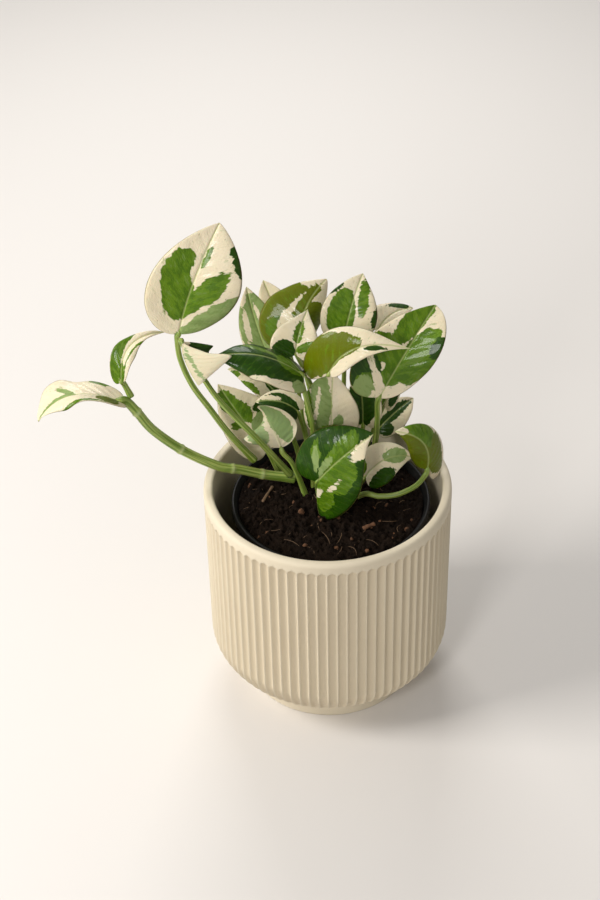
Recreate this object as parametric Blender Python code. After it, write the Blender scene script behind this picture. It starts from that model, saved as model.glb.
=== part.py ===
"""Potted pothos: a variegated trailing plant in a black nursery pot, set inside a fluted cover pot.

Run with blender --background --python part.py, or from Blender's text editor.
Lengths in the tables are millimetres and turn into metres where the meshes are made. +Z is up, the origin is
the middle of the cover pot's underside, and -Y is the front. The vine leaves the pot towards -X.
"""

import math

import bmesh
import bpy
import numpy as np

MM = 0.001
GAP = 0.3  # between pieces that touch

# Cover pot: a straight fluted wall over a bowl that curves in to a low foot.
POT_RADIUS = 62.5
POT_HEIGHT = 122.5
RIM_INSIDE = 57.7
LIP_ROUND = 2.2
FOOT_RADIUS = 45.0
FOOT_HEIGHT = 9.0
BOWL_TOP = 31.5
BOWL_TURN = 21.3
BOWL_FOOT_RADIUS = 47.0
POT_FLOOR = 7.0
FLUTES = 80
FLUTE_DEPTH = 1.4
FLUTE_TOP = 117.0

# Nursery pot: a thin black liner with a rolled rim and a drain hole, a little off centre in the cover pot.
LINER_SHIFT = 1.5
LINER_RIM = 50.2
LINER_TOP = 112.6
LINER_BASE = POT_FLOOR + GAP
LINER_BASE_RADIUS = 38.0
LINER_WALL = 1.0
DRAIN_RADIUS = 7.0

# Soil: fills the liner and heaps up a little in the middle.
SOIL_EDGE = 107.5
SOIL_HEAP = 5.5
SOIL_BASE = LINER_BASE + LINER_WALL + GAP

LEAF_THICKNESS = 0.7
LEAF_ROWS = 9
LEAF_COLUMNS = 3  # on each side of the midrib

POT_COLOUR = (0.80, 0.74, 0.61)
LINER_COLOUR = (0.02, 0.02, 0.022)
SOIL_COLOUR = (0.035, 0.022, 0.014)
LEAF_COLOUR = (0.16, 0.33, 0.07)
STEM_COLOUR = (0.29, 0.42, 0.12)
BARK_COLOUR = (0.24, 0.11, 0.05)

# One row per leaf:
# base, bend, tip   the midrib, a quadratic curve that leaves the base towards the bend and ends at the tip
# face              the way the upper face looks
# half              half widths left and right of the midrib, looking at the upper face with the tip up
# fold, curl        degrees that each half rises at the midrib, and turns further on its way to the margin
# wave              height of the margin's waves
# full              optional: how slowly each half narrows to the base and to the tip; low numbers are fuller
# lobe              optional: how far each half reaches back past the stalk
FULL = ((0.45, 0.96), (0.45, 0.96))
LOBE = (0.34, 0.34)
LEAVES = {
    "leaf_tall_left": dict(
        base=(-71, 14, 204), bend=(-66, 17, 228), tip=(-50, 34, 254), face=(0.05, -0.85, 0.5),
        half=(21, 23), fold=(5, 8), curl=(12, -15), wave=0.6,
        full=((0.6, 0.9), (0.85, 0.75)), lobe=(0.1, 0.1),
    ),
    "leaf_left_arching": dict(
        base=(-100, 8, 180), bend=(-101, 16, 203), tip=(-79, 30, 194), face=(-0.5, -0.55, 0.65),
        half=(8, 7), fold=(20, 15), curl=(10, -20), wave=0.8, full=((0.45, 1.3), (0.6, 1.3)),
    ),
    "leaf_left_end": dict(
        base=(-101, 3, 172), bend=(-127, -2, 189), tip=(-140, -8, 168), face=(-0.1, 0.25, 0.95),
        half=(9, 14), fold=(0, 8), curl=(-15, 25), wave=2.0, full=((0.5, 0.9), (0.45, 0.4)),
    ),
    "leaf_left_hanging": dict(
        base=(-68, 2, 208), bend=(-69, -1, 200), tip=(-61, -6, 188), face=(0.9, -0.1, 0.3),
        half=(20, 25), fold=(60, 65), curl=(-10, 10), wave=1.0, full=((0.8, 0.8), (0.8, 0.8)), lobe=(0, 0),
    ),
    "leaf_middle_left": dict(
        base=(-12, 3, 188), bend=(-31, -2, 209), tip=(-54, -4, 203), face=(0.25, 0.0, 0.97),
        half=(14, 13), fold=(-5, 0), curl=(-50, -15), wave=0.8,
    ),
    "leaf_back_left": dict(
        base=(-30, 55, 160), bend=(-38, 65, 177), tip=(-41, 70, 194), face=(-0.1, -0.85, 0.5),
        half=(10, 12), fold=(10, 10), curl=(0, 0), wave=0.6,
    ),
    "leaf_back_tip": dict(
        base=(-22, 66, 172), bend=(-29, 76, 182), tip=(-33, 82, 190), face=(-0.2, -0.7, 0.7),
        half=(9, 9), fold=(15, 15), curl=(0, 0), wave=0.6,
    ),
    "leaf_upper_left": dict(
        base=(-14, 34, 184), bend=(-14, 38, 203), tip=(0, 54, 209), face=(-0.2, -0.75, 0.6),
        half=(21, 11), fold=(5, -10), curl=(0, -60), wave=0.8, full=((0.45, 1.1), (0.5, 0.6)),
    ),
    "leaf_centre_cream": dict(
        base=(-15, 16, 190), bend=(-14, 17, 203), tip=(-9, 32, 206), face=(0.0, -0.75, 0.65),
        half=(13, 11), fold=(10, 10), curl=(0, 0), wave=0.6, full=((0.45, 1.4), (0.45, 1.2)),
    ),
    "leaf_centre_olive": dict(
        base=(1, 2, 188), bend=(9, 0, 214), tip=(41, 2, 203), face=(-0.15, -0.85, 0.5),
        half=(15, 7), fold=(5, 5), curl=(-25, 10), wave=0.6, full=((0.45, 1.6), (0.6, 1.2)), lobe=(0.5, 0.1),
    ),
    "leaf_upper_centre": dict(
        base=(9, 30, 192), bend=(12, 33, 209), tip=(18, 48, 216), face=(-0.1, -0.8, 0.55),
        half=(14, 14), fold=(10, 10), curl=(0, -15), wave=0.6,
    ),
    "leaf_upper_back": dict(
        base=(26, 54, 178), bend=(31, 62, 185), tip=(44, 66, 183), face=(0.1, -0.3, 0.95),
        half=(9, 9), fold=(5, 5), curl=(0, -20), wave=0.6,
    ),
    "leaf_right_large": dict(
        base=(26, 13, 166), bend=(37, 17, 188), tip=(53, 32, 208), face=(0.1, -0.75, 0.65),
        half=(22, 15), fold=(12, 5), curl=(10, 10), wave=1.2,
        full=((0.45, 0.9), (0.75, 0.5)), lobe=(0.2, 0.1),
    ),
    "leaf_centre_upright": dict(
        base=(2, 11, 144), bend=(2, 5, 163), tip=(3, 11, 182), face=(0.0, -0.95, 0.3),
        half=(14, 14), fold=(8, 8), curl=(0, -10), wave=0.8, full=((0.5, 0.45), (0.45, 0.8)),
    ),
    "leaf_lower_left": dict(
        base=(-31, 22, 126), bend=(-44, 23, 145), tip=(-55, 30, 162), face=(0.2, -0.85, 0.5),
        half=(13, 17), fold=(10, 10), curl=(0, 0), wave=1.0, lobe=(0.15, 0.15),
    ),
    "leaf_front_left": dict(
        base=(-23, 5, 141), bend=(-27, 6, 157), tip=(-33, 15, 157), face=(-0.1, 0.95, 0.3),
        half=(14, 16), fold=(-5, -5), curl=(-10, -10), wave=1.2, full=((0.7, 0.7), (0.7, 0.5)), lobe=(0, 0),
    ),
    "leaf_front": dict(
        base=(-5, -12, 133), bend=(6, -15, 151), tip=(23, -6, 158), face=(-0.1, -0.85, 0.5),
        half=(19, 21), fold=(5, 5), curl=(-20, -10), wave=0.5,
        full=((0.45, 0.8), (0.45, 1.0)), lobe=(0.4, 0.9),
    ),
    "leaf_small_left": dict(
        base=(-26, 29, 157), bend=(-36, 31, 172), tip=(-50, 33, 169), face=(0.0, -0.5, 0.85),
        half=(9, 8), fold=(10, 10), curl=(0, 0), wave=0.6,
    ),
    "leaf_small_dark": dict(
        base=(-15, 17, 155), bend=(-23, 17, 164), tip=(-36, 19, 159), face=(0.0, -0.6, 0.8),
        half=(7, 7), fold=(10, 10), curl=(0, 0), wave=0.6,
    ),
    "leaf_right_low": dict(
        base=(19, 6, 121), bend=(29, 4, 140), tip=(43, 8, 132), face=(0.0, -0.7, 0.7),
        half=(10, 11), fold=(10, 10), curl=(0, 0), wave=1.0,
    ),
    "leaf_right_drooping": dict(
        base=(50, 0, 131), bend=(53, -2, 154), tip=(33, -4, 158), face=(0.2, -0.8, 0.5),
        half=(9, 11), fold=(-10, -10), curl=(-10, -30), wave=0.8, lobe=(0.1, 0.9),
    ),
    "leaf_back_right": dict(
        base=(29, 40, 141), bend=(32, 43, 149), tip=(40, 52, 156), face=(0.2, -0.8, 0.5),
        half=(6, 6), fold=(15, 15), curl=(0, 0), wave=0.4,
    ),
    "leaf_low_back_right": dict(
        base=(27, 45, 122), bend=(36, 48, 132), tip=(45, 60, 130), face=(0.0, -0.6, 0.8),
        half=(9, 9), fold=(10, 10), curl=(0, 0), wave=0.8,
    ),
    "leaf_centre_dark": dict(
        base=(18, 26, 140), bend=(18, 27, 156), tip=(16, 36, 164), face=(0.0, -0.9, 0.4),
        half=(10, 10), fold=(10, 10), curl=(0, 0), wave=0.6,
    ),
}

# One row per stem: its thickness at the foot and at the end, and the points that it passes. A foot with no
# height stands on the soil.
STEMS = {
    "vine": (5.0, 4.6, [
        (-17, 10, 117), (-32, 8, 121), (-44, 6, 126), (-55, 4, 130),
        (-72, 4, 140), (-86, 4, 153), (-93, 4, 164), (-98, 5, 170),
    ]),
    "petiole_tall_left": (3.4, 2.6, [
        (-37, 11, 128), (-49, 10, 146), (-58, 10, 162), (-66, 11, 176), (-71, 13, 190), (-72, 15, 201),
    ]),
    "petiole_left_arching": (2.8, 2.4, [(-96, 8, 171), (-99, 9, 178)]),
    "petiole_left_hanging": (3.4, 2.4, [
        (-19, 8, 121), (-34, 1, 149), (-46, 2, 164), (-54, 3, 175),
        (-60, 4, 186), (-66, 5, 198), (-69, 5, 206),
    ]),
    "petiole_middle_left": (2.8, 2.4, [(-7, 10), (-8, 6, 137), (-7, 4, 153), (-9, 3, 168), (-12, 3, 184)]),
    "petiole_back_left": (2.6, 2.2, [(-14, 36), (-24, 46, 135), (-30, 55, 156)]),
    "petiole_back_tip": (2.4, 2.0, [(-10, 40), (-16, 54, 145), (-22, 66, 168)]),
    "petiole_upper_left": (2.6, 2.2, [(-2, 36), (-8, 35, 150), (-14, 34, 180)]),
    "petiole_centre_cream": (2.4, 2.0, [(-2, 28), (-4, 26, 150), (-14, 19, 186)]),
    "petiole_centre_olive": (2.6, 2.2, [(4, 22), (5, 20, 150), (4, 18, 178), (2, 8, 188)]),
    "petiole_upper_centre": (2.6, 2.2, [(6, 32), (8, 33, 150), (9, 31, 188)]),
    "petiole_upper_back": (2.6, 2.2, [(10, 41), (15, 36, 134), (24, 40, 152), (26, 48, 166), (26, 54, 174)]),
    "petiole_right_large": (3.2, 2.6, [(21, 16), (24, 14, 136), (25, 13, 152), (25, 13, 162)]),
    "petiole_centre_upright": (2.6, 2.2, [(3, 14), (2, 13, 130), (2, 11, 140)]),
    "petiole_lower_left": (2.8, 2.4, [(-24, 20), (-29, 21, 122)]),
    "petiole_front_left": (3.0, 2.4, [(-11, 3), (-17, 3, 131), (-22, 4, 138)]),
    "petiole_front": (2.6, 2.2, [(-4, 0), (-5, -7, 125), (-5, -10, 130)]),
    "petiole_small_left": (2.2, 1.8, [(-14, 30), (-20, 29, 138), (-25, 29, 154)]),
    "petiole_small_dark": (2.2, 1.8, [(-8, 20), (-11, 18, 136), (-14, 17, 152)]),
    "petiole_right_low": (2.4, 2.0, [(14, 8), (18, 6, 119)]),
    "petiole_right_drooping": (3.0, 2.4, [
        (12, 0), (19, -5, 119), (26, -8, 120), (35, -9, 122), (44, -6, 125), (49, -1, 128),
    ]),
    "petiole_back_right": (2.2, 1.8, [(18, 36), (24, 38, 128), (28, 40, 138)]),
    "petiole_low_back_right": (2.4, 2.0, [(23, 35), (26, 44, 119)]),
    "petiole_centre_dark": (2.4, 2.0, [(14, 26), (17, 26, 126), (18, 26, 137)]),
}
STEM_STEPS = 2  # pieces between two of a stem's points
STEM_LIFT = 1.2  # of a foot's middle over the soil

# Loose bits on the soil: thickness and the two ends.
SCRAPS = {
    "soil_twig": (1.4, (-33, -4, 112.5), (-28, 9, 112.9)),
    "bark_chip": (2.2, (17, -25, 113.0), (24, -21, 113.3)),
}


def clear_scene():
    for old in list(bpy.data.objects):
        bpy.data.objects.remove(old, do_unlink=True)


def material(name, colour, roughness):
    """A Principled material of one colour."""
    made = bpy.data.materials.new(name)
    made.use_nodes = True
    shader = made.node_tree.nodes["Principled BSDF"]
    shader.inputs["Base Color"].default_value = (*colour, 1.0)
    shader.inputs["Roughness"].default_value = roughness
    shader.inputs["Metallic"].default_value = 0.0
    return made


def add_object(name, data, finish):
    data.materials.append(finish)
    made = bpy.data.objects.new(name, data)
    bpy.context.scene.collection.objects.link(made)
    return made


def mesh_from(name, points, faces):
    """A smooth mesh from points in millimetres, with coinciding points joined and the faces turned out."""
    mesh = bpy.data.meshes.new(name)
    mesh.from_pydata((np.asarray(points) * MM).tolist(), [], faces)
    work = bmesh.new()
    work.from_mesh(mesh)
    bmesh.ops.remove_doubles(work, verts=work.verts, dist=0.02 * MM)
    bmesh.ops.recalc_face_normals(work, faces=work.faces)
    work.to_mesh(mesh)
    work.free()
    mesh.shade_smooth()
    return mesh


def grid_faces(rows, columns, wraps):
    """Quads over a grid of points. wraps joins the last column to the first."""
    faces = []
    for r in range(rows - 1):
        for c in range(columns if wraps else columns - 1):
            here, after = r * columns + c, r * columns + (c + 1) % columns
            faces.append((here, after, after + columns, here + columns))
    return faces


def turned(profile, segments, shift=0.0, dent=None):
    """Points of a profile of (radius, height) turned about +Z, one row per profile point.

    dent holds one depth per profile point, which every second column is pulled in by, to make flutes.
    """
    radius, height = np.array(profile, float).T
    angle = np.arange(segments) * 2 * math.pi / segments
    reach = np.repeat(radius[:, None], segments, axis=1)
    if dent is not None:
        reach[:, 1::2] -= np.array(dent)[:, None]
    x = reach * np.cos(angle) + shift
    y = reach * np.sin(angle)
    z = np.repeat(height[:, None], segments, axis=1)
    return np.stack([x, y, z], axis=-1).reshape(-1, 3)


def bowl_point(t):
    """The quadratic curve from the wall's lower end (t = 0) in to the foot (t = 1)."""
    start, turn, end = (POT_RADIUS, BOWL_TOP), (POT_RADIUS, BOWL_TURN), (BOWL_FOOT_RADIUS, FOOT_HEIGHT)
    return tuple((1 - t) ** 2 * a + 2 * t * (1 - t) * b + t * t * c for a, b, c in zip(start, turn, end))


def build_pot():
    """The cover pot: one turned wall, whose outside has flutes from under the rim to just above the foot."""
    outside = [(0, 0, 0), (FOOT_RADIUS - 1, 0, 0), (FOOT_RADIUS, 1, 0), (FOOT_RADIUS, FOOT_HEIGHT, 0)]
    for t in (1.0, 0.88, 0.7, 0.5, 0.25, 0.0):
        outside.append((*bowl_point(t), min(1.0, (1 - t) * 8) * FLUTE_DEPTH))
    outside += [
        (POT_RADIUS, FLUTE_TOP - 3, FLUTE_DEPTH), (POT_RADIUS, FLUTE_TOP - 0.8, 0.5 * FLUTE_DEPTH),
        (POT_RADIUS, FLUTE_TOP, 0),
    ]
    lip = [
        (POT_RADIUS, POT_HEIGHT - LIP_ROUND, 0), (POT_RADIUS - 0.7, POT_HEIGHT - 0.6, 0),
        (POT_RADIUS - LIP_ROUND, POT_HEIGHT, 0), (RIM_INSIDE + 0.8, POT_HEIGHT - 0.5, 0),
        (RIM_INSIDE, POT_HEIGHT - LIP_ROUND, 0),
    ]
    inside = [(RIM_INSIDE, 33, 0), (54, 17, 0), (44, POT_FLOOR, 0), (0, POT_FLOOR, 0)]
    rows = outside + lip + inside
    profile = [(radius, height) for radius, height, _ in rows]
    points = turned(profile, 2 * FLUTES, dent=[depth for _, _, depth in rows])
    points[:, :2][np.hypot(points[:, 0], points[:, 1]) < 1e-6] = 0
    mesh = mesh_from("pot", points, grid_faces(len(rows), 2 * FLUTES, wraps=True))
    return add_object("cover_pot", mesh, material("pot_glaze", POT_COLOUR, 0.6))


def liner_inside(height):
    """The liner's inner radius at a height."""
    up = (height - LINER_BASE) / (LINER_TOP - LINER_BASE)
    return LINER_BASE_RADIUS - LINER_WALL + up * (LINER_RIM - LINER_BASE_RADIUS - 1.5)


def build_liner():
    """The nursery pot: a tapered thin wall with a rolled rim and one drain hole."""
    under_rim = LINER_TOP - 5
    wall = liner_inside(under_rim) + LINER_WALL
    floor = LINER_BASE + LINER_WALL
    profile = [
        (DRAIN_RADIUS, LINER_BASE), (LINER_BASE_RADIUS - 1, LINER_BASE), (LINER_BASE_RADIUS, LINER_BASE + 1),
        (wall, under_rim), (LINER_RIM, under_rim + 0.8), (LINER_RIM, LINER_TOP - 0.5),
        (LINER_RIM - 0.5, LINER_TOP), (liner_inside(LINER_TOP), LINER_TOP - 0.3),
        (liner_inside(floor), floor), (DRAIN_RADIUS, floor),
    ]
    profile.append(profile[0])
    points = turned(profile, 48, LINER_SHIFT)
    mesh = mesh_from("liner", points, grid_faces(len(profile), 48, wraps=True))
    return add_object("nursery_pot", mesh, material("black_plastic", LINER_COLOUR, 0.45))


def soil_height(x, y):
    """The heaped surface: highest in the middle, with low bumps."""
    out = np.hypot(x, y) / LINER_RIM
    bumps = np.sin(x * 0.31 + 1.0) * np.sin(y * 0.27) + 0.6 * np.sin(x * 0.17 - y * 0.23)
    return SOIL_EDGE + SOIL_HEAP * (1 - out**2) + 0.5 * bumps * (1 - out)


def build_soil():
    reach = liner_inside(SOIL_EDGE) - GAP
    rings = [(reach * part, SOIL_EDGE) for part in (0.0, 0.25, 0.5, 0.75, 0.92, 1.0)]
    rings += [(liner_inside(SOIL_BASE) - GAP, SOIL_BASE), (0, SOIL_BASE)]
    points = turned(rings, 32)
    top = points[:, 2] == SOIL_EDGE
    points[top, 2] = soil_height(points[top, 0], points[top, 1])
    points[:, 0] += LINER_SHIFT
    mesh = mesh_from("soil", points, grid_faces(len(rings), 32, wraps=True))
    return add_object("soil", mesh, material("potting_soil", SOIL_COLOUR, 0.95))


def standing(foot):
    """A stem's first point, raised onto the soil if the table gives no height."""
    return foot if len(foot) == 3 else (*foot, soil_height(foot[0] - LINER_SHIFT, foot[1]) + STEM_LIFT)


def unit(vectors):
    return vectors / np.linalg.norm(vectors, axis=-1, keepdims=True)


def outline(along, to_base, to_tip):
    """A half leaf's width as a share of its widest: powers of the distances to the base and to the tip."""
    widest = to_base / (to_base + to_tip)
    return (along / widest) ** to_base * ((1 - along) / (1 - widest)) ** to_tip


def leaf_points(leaf, along, across):
    """Points of a leaf's middle surface, for along 0 to 1 from base to tip and across -1 to 1, left to right.

    Each row of points is a bent line square to the midrib, which rises by the fold, turns by the curl and ends
    at the outline. Near the base the rows sweep back, which makes the two lobes beside the stalk.
    """
    base, bend, tip = (np.array(leaf[key], float) for key in ("base", "bend", "tip"))
    u, v = np.meshgrid(along, across, indexing="ij")
    reach = np.abs(v)
    t = u[..., None]
    rib = (1 - t) ** 2 * base + 2 * t * (1 - t) * bend + t**2 * tip
    forward = unit(2 * (1 - t) * (bend - base) + 2 * t * (tip - bend))
    side = unit(np.cross(forward, np.array(leaf["face"], float)))
    up = np.cross(side, forward)
    half, fold, curl = (np.where(v < 0, *leaf[key]) for key in ("half", "fold", "curl"))
    lobe = np.where(v < 0, *leaf.get("lobe", LOBE))
    left, right = leaf.get("full", FULL)
    shape = np.where(v < 0, outline(u, *left), outline(u, *right))
    start = np.radians(fold)
    turn = np.radians(curl) * reach + 1e-4
    width = half * shape * reach
    out = width * (np.sin(start + turn) - np.sin(start)) / turn
    rise = width * (np.cos(start) - np.cos(start + turn)) / turn
    rise = rise + leaf["wave"] * reach**2 * np.sin(9 * u + 1.3 * np.sign(v)) * np.sin(math.pi * u)
    length = np.linalg.norm(tip - base)
    sweep = lobe * length * reach**2 * shape * (1 - u) ** 6
    spread = np.sign(v)[..., None] * out[..., None] * side
    return rib + spread + rise[..., None] * up - sweep[..., None] * forward


def build_leaf(name, leaf, finish):
    along = 0.5 - 0.5 * np.cos(np.linspace(0, math.pi, LEAF_ROWS))
    across = np.linspace(-1, 1, 2 * LEAF_COLUMNS + 1)
    points = leaf_points(leaf, along, across).reshape(-1, 3)
    mesh = mesh_from(name, points, grid_faces(len(along), len(across), wraps=False))
    made = add_object(name, mesh, finish)
    blade = made.modifiers.new("thickness", "SOLIDIFY")
    blade.thickness = LEAF_THICKNESS * MM
    blade.offset = 0.0
    return made


def smooth_path(points, steps):
    """A Catmull-Rom curve through the points, with the end points repeated."""
    knots = np.array([points[0], *points, points[-1]], float)
    path = []
    for a, b, c, d in zip(knots, knots[1:], knots[2:], knots[3:]):
        t = np.arange(steps)[:, None] / steps
        curved = (2 * a - 5 * b + 4 * c - d) * t**2 + (3 * b - a - 3 * c + d) * t**3
        path.append(0.5 * (2 * b + (c - a) * t + curved))
    return np.vstack([*path, knots[-1:]])


def build_tube(name, points, start, end, finish, steps):
    """A tapered round stem along a smooth path, with closed ends."""
    path = smooth_path(points, steps) * MM
    curve = bpy.data.curves.new(name, "CURVE")
    curve.dimensions = "3D"
    curve.bevel_depth = 0.5 * start * MM
    curve.bevel_resolution = 1
    curve.use_fill_caps = True
    line = curve.splines.new("POLY")
    line.points.add(len(path) - 1)
    line.points.foreach_set("co", np.column_stack([path, np.ones(len(path))]).astype(np.float32).ravel())
    line.points.foreach_set("radius", np.linspace(1.0, end / start, len(path)).astype(np.float32))
    line.use_smooth = True
    return add_object(name, curve, finish)


clear_scene()
build_pot()
build_liner()
build_soil()
leaf_green = material("leaf_green", LEAF_COLOUR, 0.35)
for leaf_name, leaf_row in LEAVES.items():
    build_leaf(leaf_name, leaf_row, leaf_green)
stem_green = material("stem_green", STEM_COLOUR, 0.5)
for stem_name, (foot, end, route) in STEMS.items():
    build_tube(stem_name, [standing(route[0]), *route[1:]], foot, end, stem_green, STEM_STEPS)
bark_brown = material("bark_brown", BARK_COLOUR, 0.9)
for scrap_name, (thick, first, last) in SCRAPS.items():
    build_tube(scrap_name, [first, last], thick, thick, bark_brown, 1)
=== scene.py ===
# %% [markdown]
# # A potted pothos, piece by piece
#
# This lesson dresses a finished construction model. The frame holds every solid of the object at its real
# size and place: a fluted cover pot, the black nursery pot inside it, the soil, the stems and two dozen
# variegated leaves. The construction solids are plain, so each one is replaced here by a finer surface in
# the same place.
#
# Every surface is a function of two parameters, worked out for a whole grid at once. Lengths are written in
# millimetres, because leaves and flutes are small, and turn into metres where a mesh is made.

# %% Load the frame
import math

import bmesh
import bpy
import numpy as np
from mathutils import Matrix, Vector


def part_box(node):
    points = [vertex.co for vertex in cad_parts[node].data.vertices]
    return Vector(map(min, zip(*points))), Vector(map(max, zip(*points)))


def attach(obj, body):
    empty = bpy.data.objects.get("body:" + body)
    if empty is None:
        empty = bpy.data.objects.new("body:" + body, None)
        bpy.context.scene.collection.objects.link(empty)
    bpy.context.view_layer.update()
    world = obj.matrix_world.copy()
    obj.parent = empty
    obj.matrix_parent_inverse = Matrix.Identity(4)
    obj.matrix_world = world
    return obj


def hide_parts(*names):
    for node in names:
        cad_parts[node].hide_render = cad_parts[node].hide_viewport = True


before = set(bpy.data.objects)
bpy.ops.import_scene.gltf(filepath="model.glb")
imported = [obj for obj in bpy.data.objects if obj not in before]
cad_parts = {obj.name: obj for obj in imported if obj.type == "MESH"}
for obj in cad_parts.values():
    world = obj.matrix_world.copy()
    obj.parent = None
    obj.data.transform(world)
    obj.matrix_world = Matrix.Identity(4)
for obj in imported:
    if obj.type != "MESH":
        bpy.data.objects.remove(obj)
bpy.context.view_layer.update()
MM = 0.001
BODY = "root"


# %% [markdown]
# ## Helpers for grids
#
# A grid of points becomes a mesh by joining each point to its neighbours. A surface that runs round, such
# as a pot or a stem, wraps: its last column joins its first. Rows that shrink to one point are poles, so
# the points that coincide are merged, and then the faces are turned outwards.

# %% Grid helpers
def grid_faces(rows, columns):
    """Quads between neighbours on a grid whose last column joins its first."""
    row = np.arange(rows - 1)[:, None] * columns
    here = np.arange(columns)[None, :]
    after = (here + 1) % columns
    return np.stack([row + here, row + after, row + columns + after, row + columns + here], -1).reshape(-1, 4)


def closed_mesh(name, points, finishes=(0,), values=None):
    """A smooth closed mesh from a wrapping grid of points (rows, columns, 3) in millimetres.

    finishes holds one material number per column, repeated as needed. values maps an attribute's name to one
    number, or one vector of three, for each point.
    """
    rows, columns = points.shape[:2]
    faces = grid_faces(rows, columns)
    mesh = bpy.data.meshes.new(name)
    mesh.vertices.add(rows * columns)
    mesh.vertices.foreach_set("co", (points * MM).astype(np.float32).ravel())
    mesh.loops.add(faces.size)
    mesh.loops.foreach_set("vertex_index", faces.astype(np.int32).ravel())
    mesh.polygons.add(len(faces))
    mesh.polygons.foreach_set("loop_start", (np.arange(len(faces)) * 4).astype(np.int32))
    numbers = np.resize(np.array(finishes, np.int32), columns)
    mesh.polygons.foreach_set("material_index", np.tile(numbers, rows - 1))
    mesh.update(calc_edges=True)
    for key, value in (values or {}).items():
        kind, field = ("FLOAT_VECTOR", "vector") if value.ndim == 3 else ("FLOAT", "value")
        layer = mesh.attributes.new(key, kind, "POINT")
        layer.data.foreach_set(field, value.astype(np.float32).ravel())
    work = bmesh.new()
    work.from_mesh(mesh)
    bmesh.ops.remove_doubles(work, verts=work.verts, dist=0.004 * MM)
    bmesh.ops.recalc_face_normals(work, faces=work.faces)
    work.to_mesh(mesh)
    work.free()
    mesh.shade_smooth()
    return mesh


def place(name, mesh, finishes, replaced=()):
    """Adds a mesh to the scene as a piece that rides on the plant's one body."""
    for finish in finishes:
        mesh.materials.append(finish)
    piece = bpy.data.objects.new(name, mesh)
    bpy.context.scene.collection.objects.link(piece)
    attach(piece, BODY)
    if replaced:
        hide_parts(*replaced)
    return piece


def unit(vectors):
    """Each vector divided by its length."""
    return vectors / np.linalg.norm(vectors, axis=-1, keepdims=True)


def around(count):
    """Evenly spaced angles round a circle."""
    return np.arange(count) * 2 * math.pi / count


def waves(x, y, size, seed, count=14):
    """Smooth random heights from -1 to 1: the mean of sine waves of about one size, in all directions."""
    random = np.random.default_rng(seed)
    turn = random.uniform(0, 2 * math.pi, count)
    length = size * random.uniform(0.7, 1.4, count)
    phase = random.uniform(0, 2 * math.pi, count)
    total = np.zeros(np.shape(x))
    for a, l, p in zip(turn, length, phase):
        total = total + np.sin((x * np.cos(a) + y * np.sin(a)) * 2 * math.pi / l + p)
    return total / math.sqrt(count) / 1.5


# %% [markdown]
# ## Camera
#
# The viewer stands in front of the pot and looks down on it by almost 39 degrees, with the camera rolled
# and turned by a degree or two, as a camera in the hand is. Setting the camera first keeps every later
# choice honest.

# %% Camera
CAMERA_PLACE = (0.008384, -0.688461, 0.697387)
LOOK_DOWN = math.radians(38.809)
LOOK_ASIDE = math.radians(-1.818)
ROLL = math.radians(-1.359)
LENS_MM = 71.3
SENSOR_MM = 36.0


def turned_place(where, right, up, back):
    """The matrix of an object at a place, with its own three axes along the given directions."""
    return Matrix.Translation(where) @ Matrix(np.column_stack([right, up, back]).tolist()).to_4x4()


level_share = math.cos(LOOK_DOWN)
ahead = np.array([
    math.sin(LOOK_ASIDE) * level_share, math.cos(LOOK_ASIDE) * level_share, -math.sin(LOOK_DOWN),
])
level = unit(np.cross(ahead, (0, 0, 1)))
above = np.cross(level, ahead)
right = level * math.cos(ROLL) + above * math.sin(ROLL)
upward = above * math.cos(ROLL) - level * math.sin(ROLL)
eye = bpy.data.cameras.new("camera")
eye.lens = LENS_MM
eye.sensor_width = SENSOR_MM
camera = bpy.data.objects.new("camera", eye)
camera.matrix_world = turned_place(CAMERA_PLACE, right, upward, -ahead)
bpy.context.scene.collection.objects.link(camera)
bpy.context.scene.camera = camera
bpy.context.scene.view_settings.view_transform = "Standard"
print("camera looks down by", round(math.degrees(LOOK_DOWN), 1), "degrees")


# %% [markdown]
# ## Floor and light
#
# A plain pale floor and the soft light of windows. The strongest lamp stands on the left. One behind the
# plant lights the leaves' edges, a small one in front gives the waxy skins their highlights, and a weak
# one on the right keeps the shadows open. A pale sky fills the rest.

# %% Floor and light
PLANT_MIDDLE = (0, 0, 0.14)


def lamp(name, where, size, power, tint):
    """A rectangular area light that faces the plant."""
    data = bpy.data.lights.new(name, "AREA")
    data.shape = "RECTANGLE"
    data.size, data.size_y = size
    data.energy = power
    data.color = tint
    made = bpy.data.objects.new(name, data)
    back = unit(np.array(where, float) - np.array(PLANT_MIDDLE, float))
    side = unit(np.cross((0, 0, 1), back))
    made.matrix_world = turned_place(where, side, np.cross(back, side), back)
    bpy.context.scene.collection.objects.link(made)


lamp("window", (-0.90, -0.20, 0.80), (0.42, 0.55), 10.8, (1.0, 0.97, 0.93))
lamp("back_window", (-0.1, 0.85, 0.75), (0.5, 0.35), 5.0, (1.0, 0.99, 0.97))
lamp("front_window", (-0.38, -0.95, 0.80), (0.22, 0.30), 4.5, (1.0, 0.99, 0.98))
lamp("fill", (0.9, -0.6, 0.5), (0.8, 0.8), 0.4, (1.0, 0.95, 0.90))
world = bpy.data.worlds.new("sky")
world.use_nodes = True
sky = world.node_tree.nodes["Background"].inputs
sky["Color"].default_value, sky["Strength"].default_value = (1.0, 0.985, 0.96, 1.0), 0.30
bpy.context.scene.world = world


# %% [markdown]
# ## Node helpers for materials
#
# A material here is a Principled shader fed by a few nodes. These helpers add a node and join it up in
# one line, and an effect that several finishes share becomes a node group with named sockets.

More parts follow.
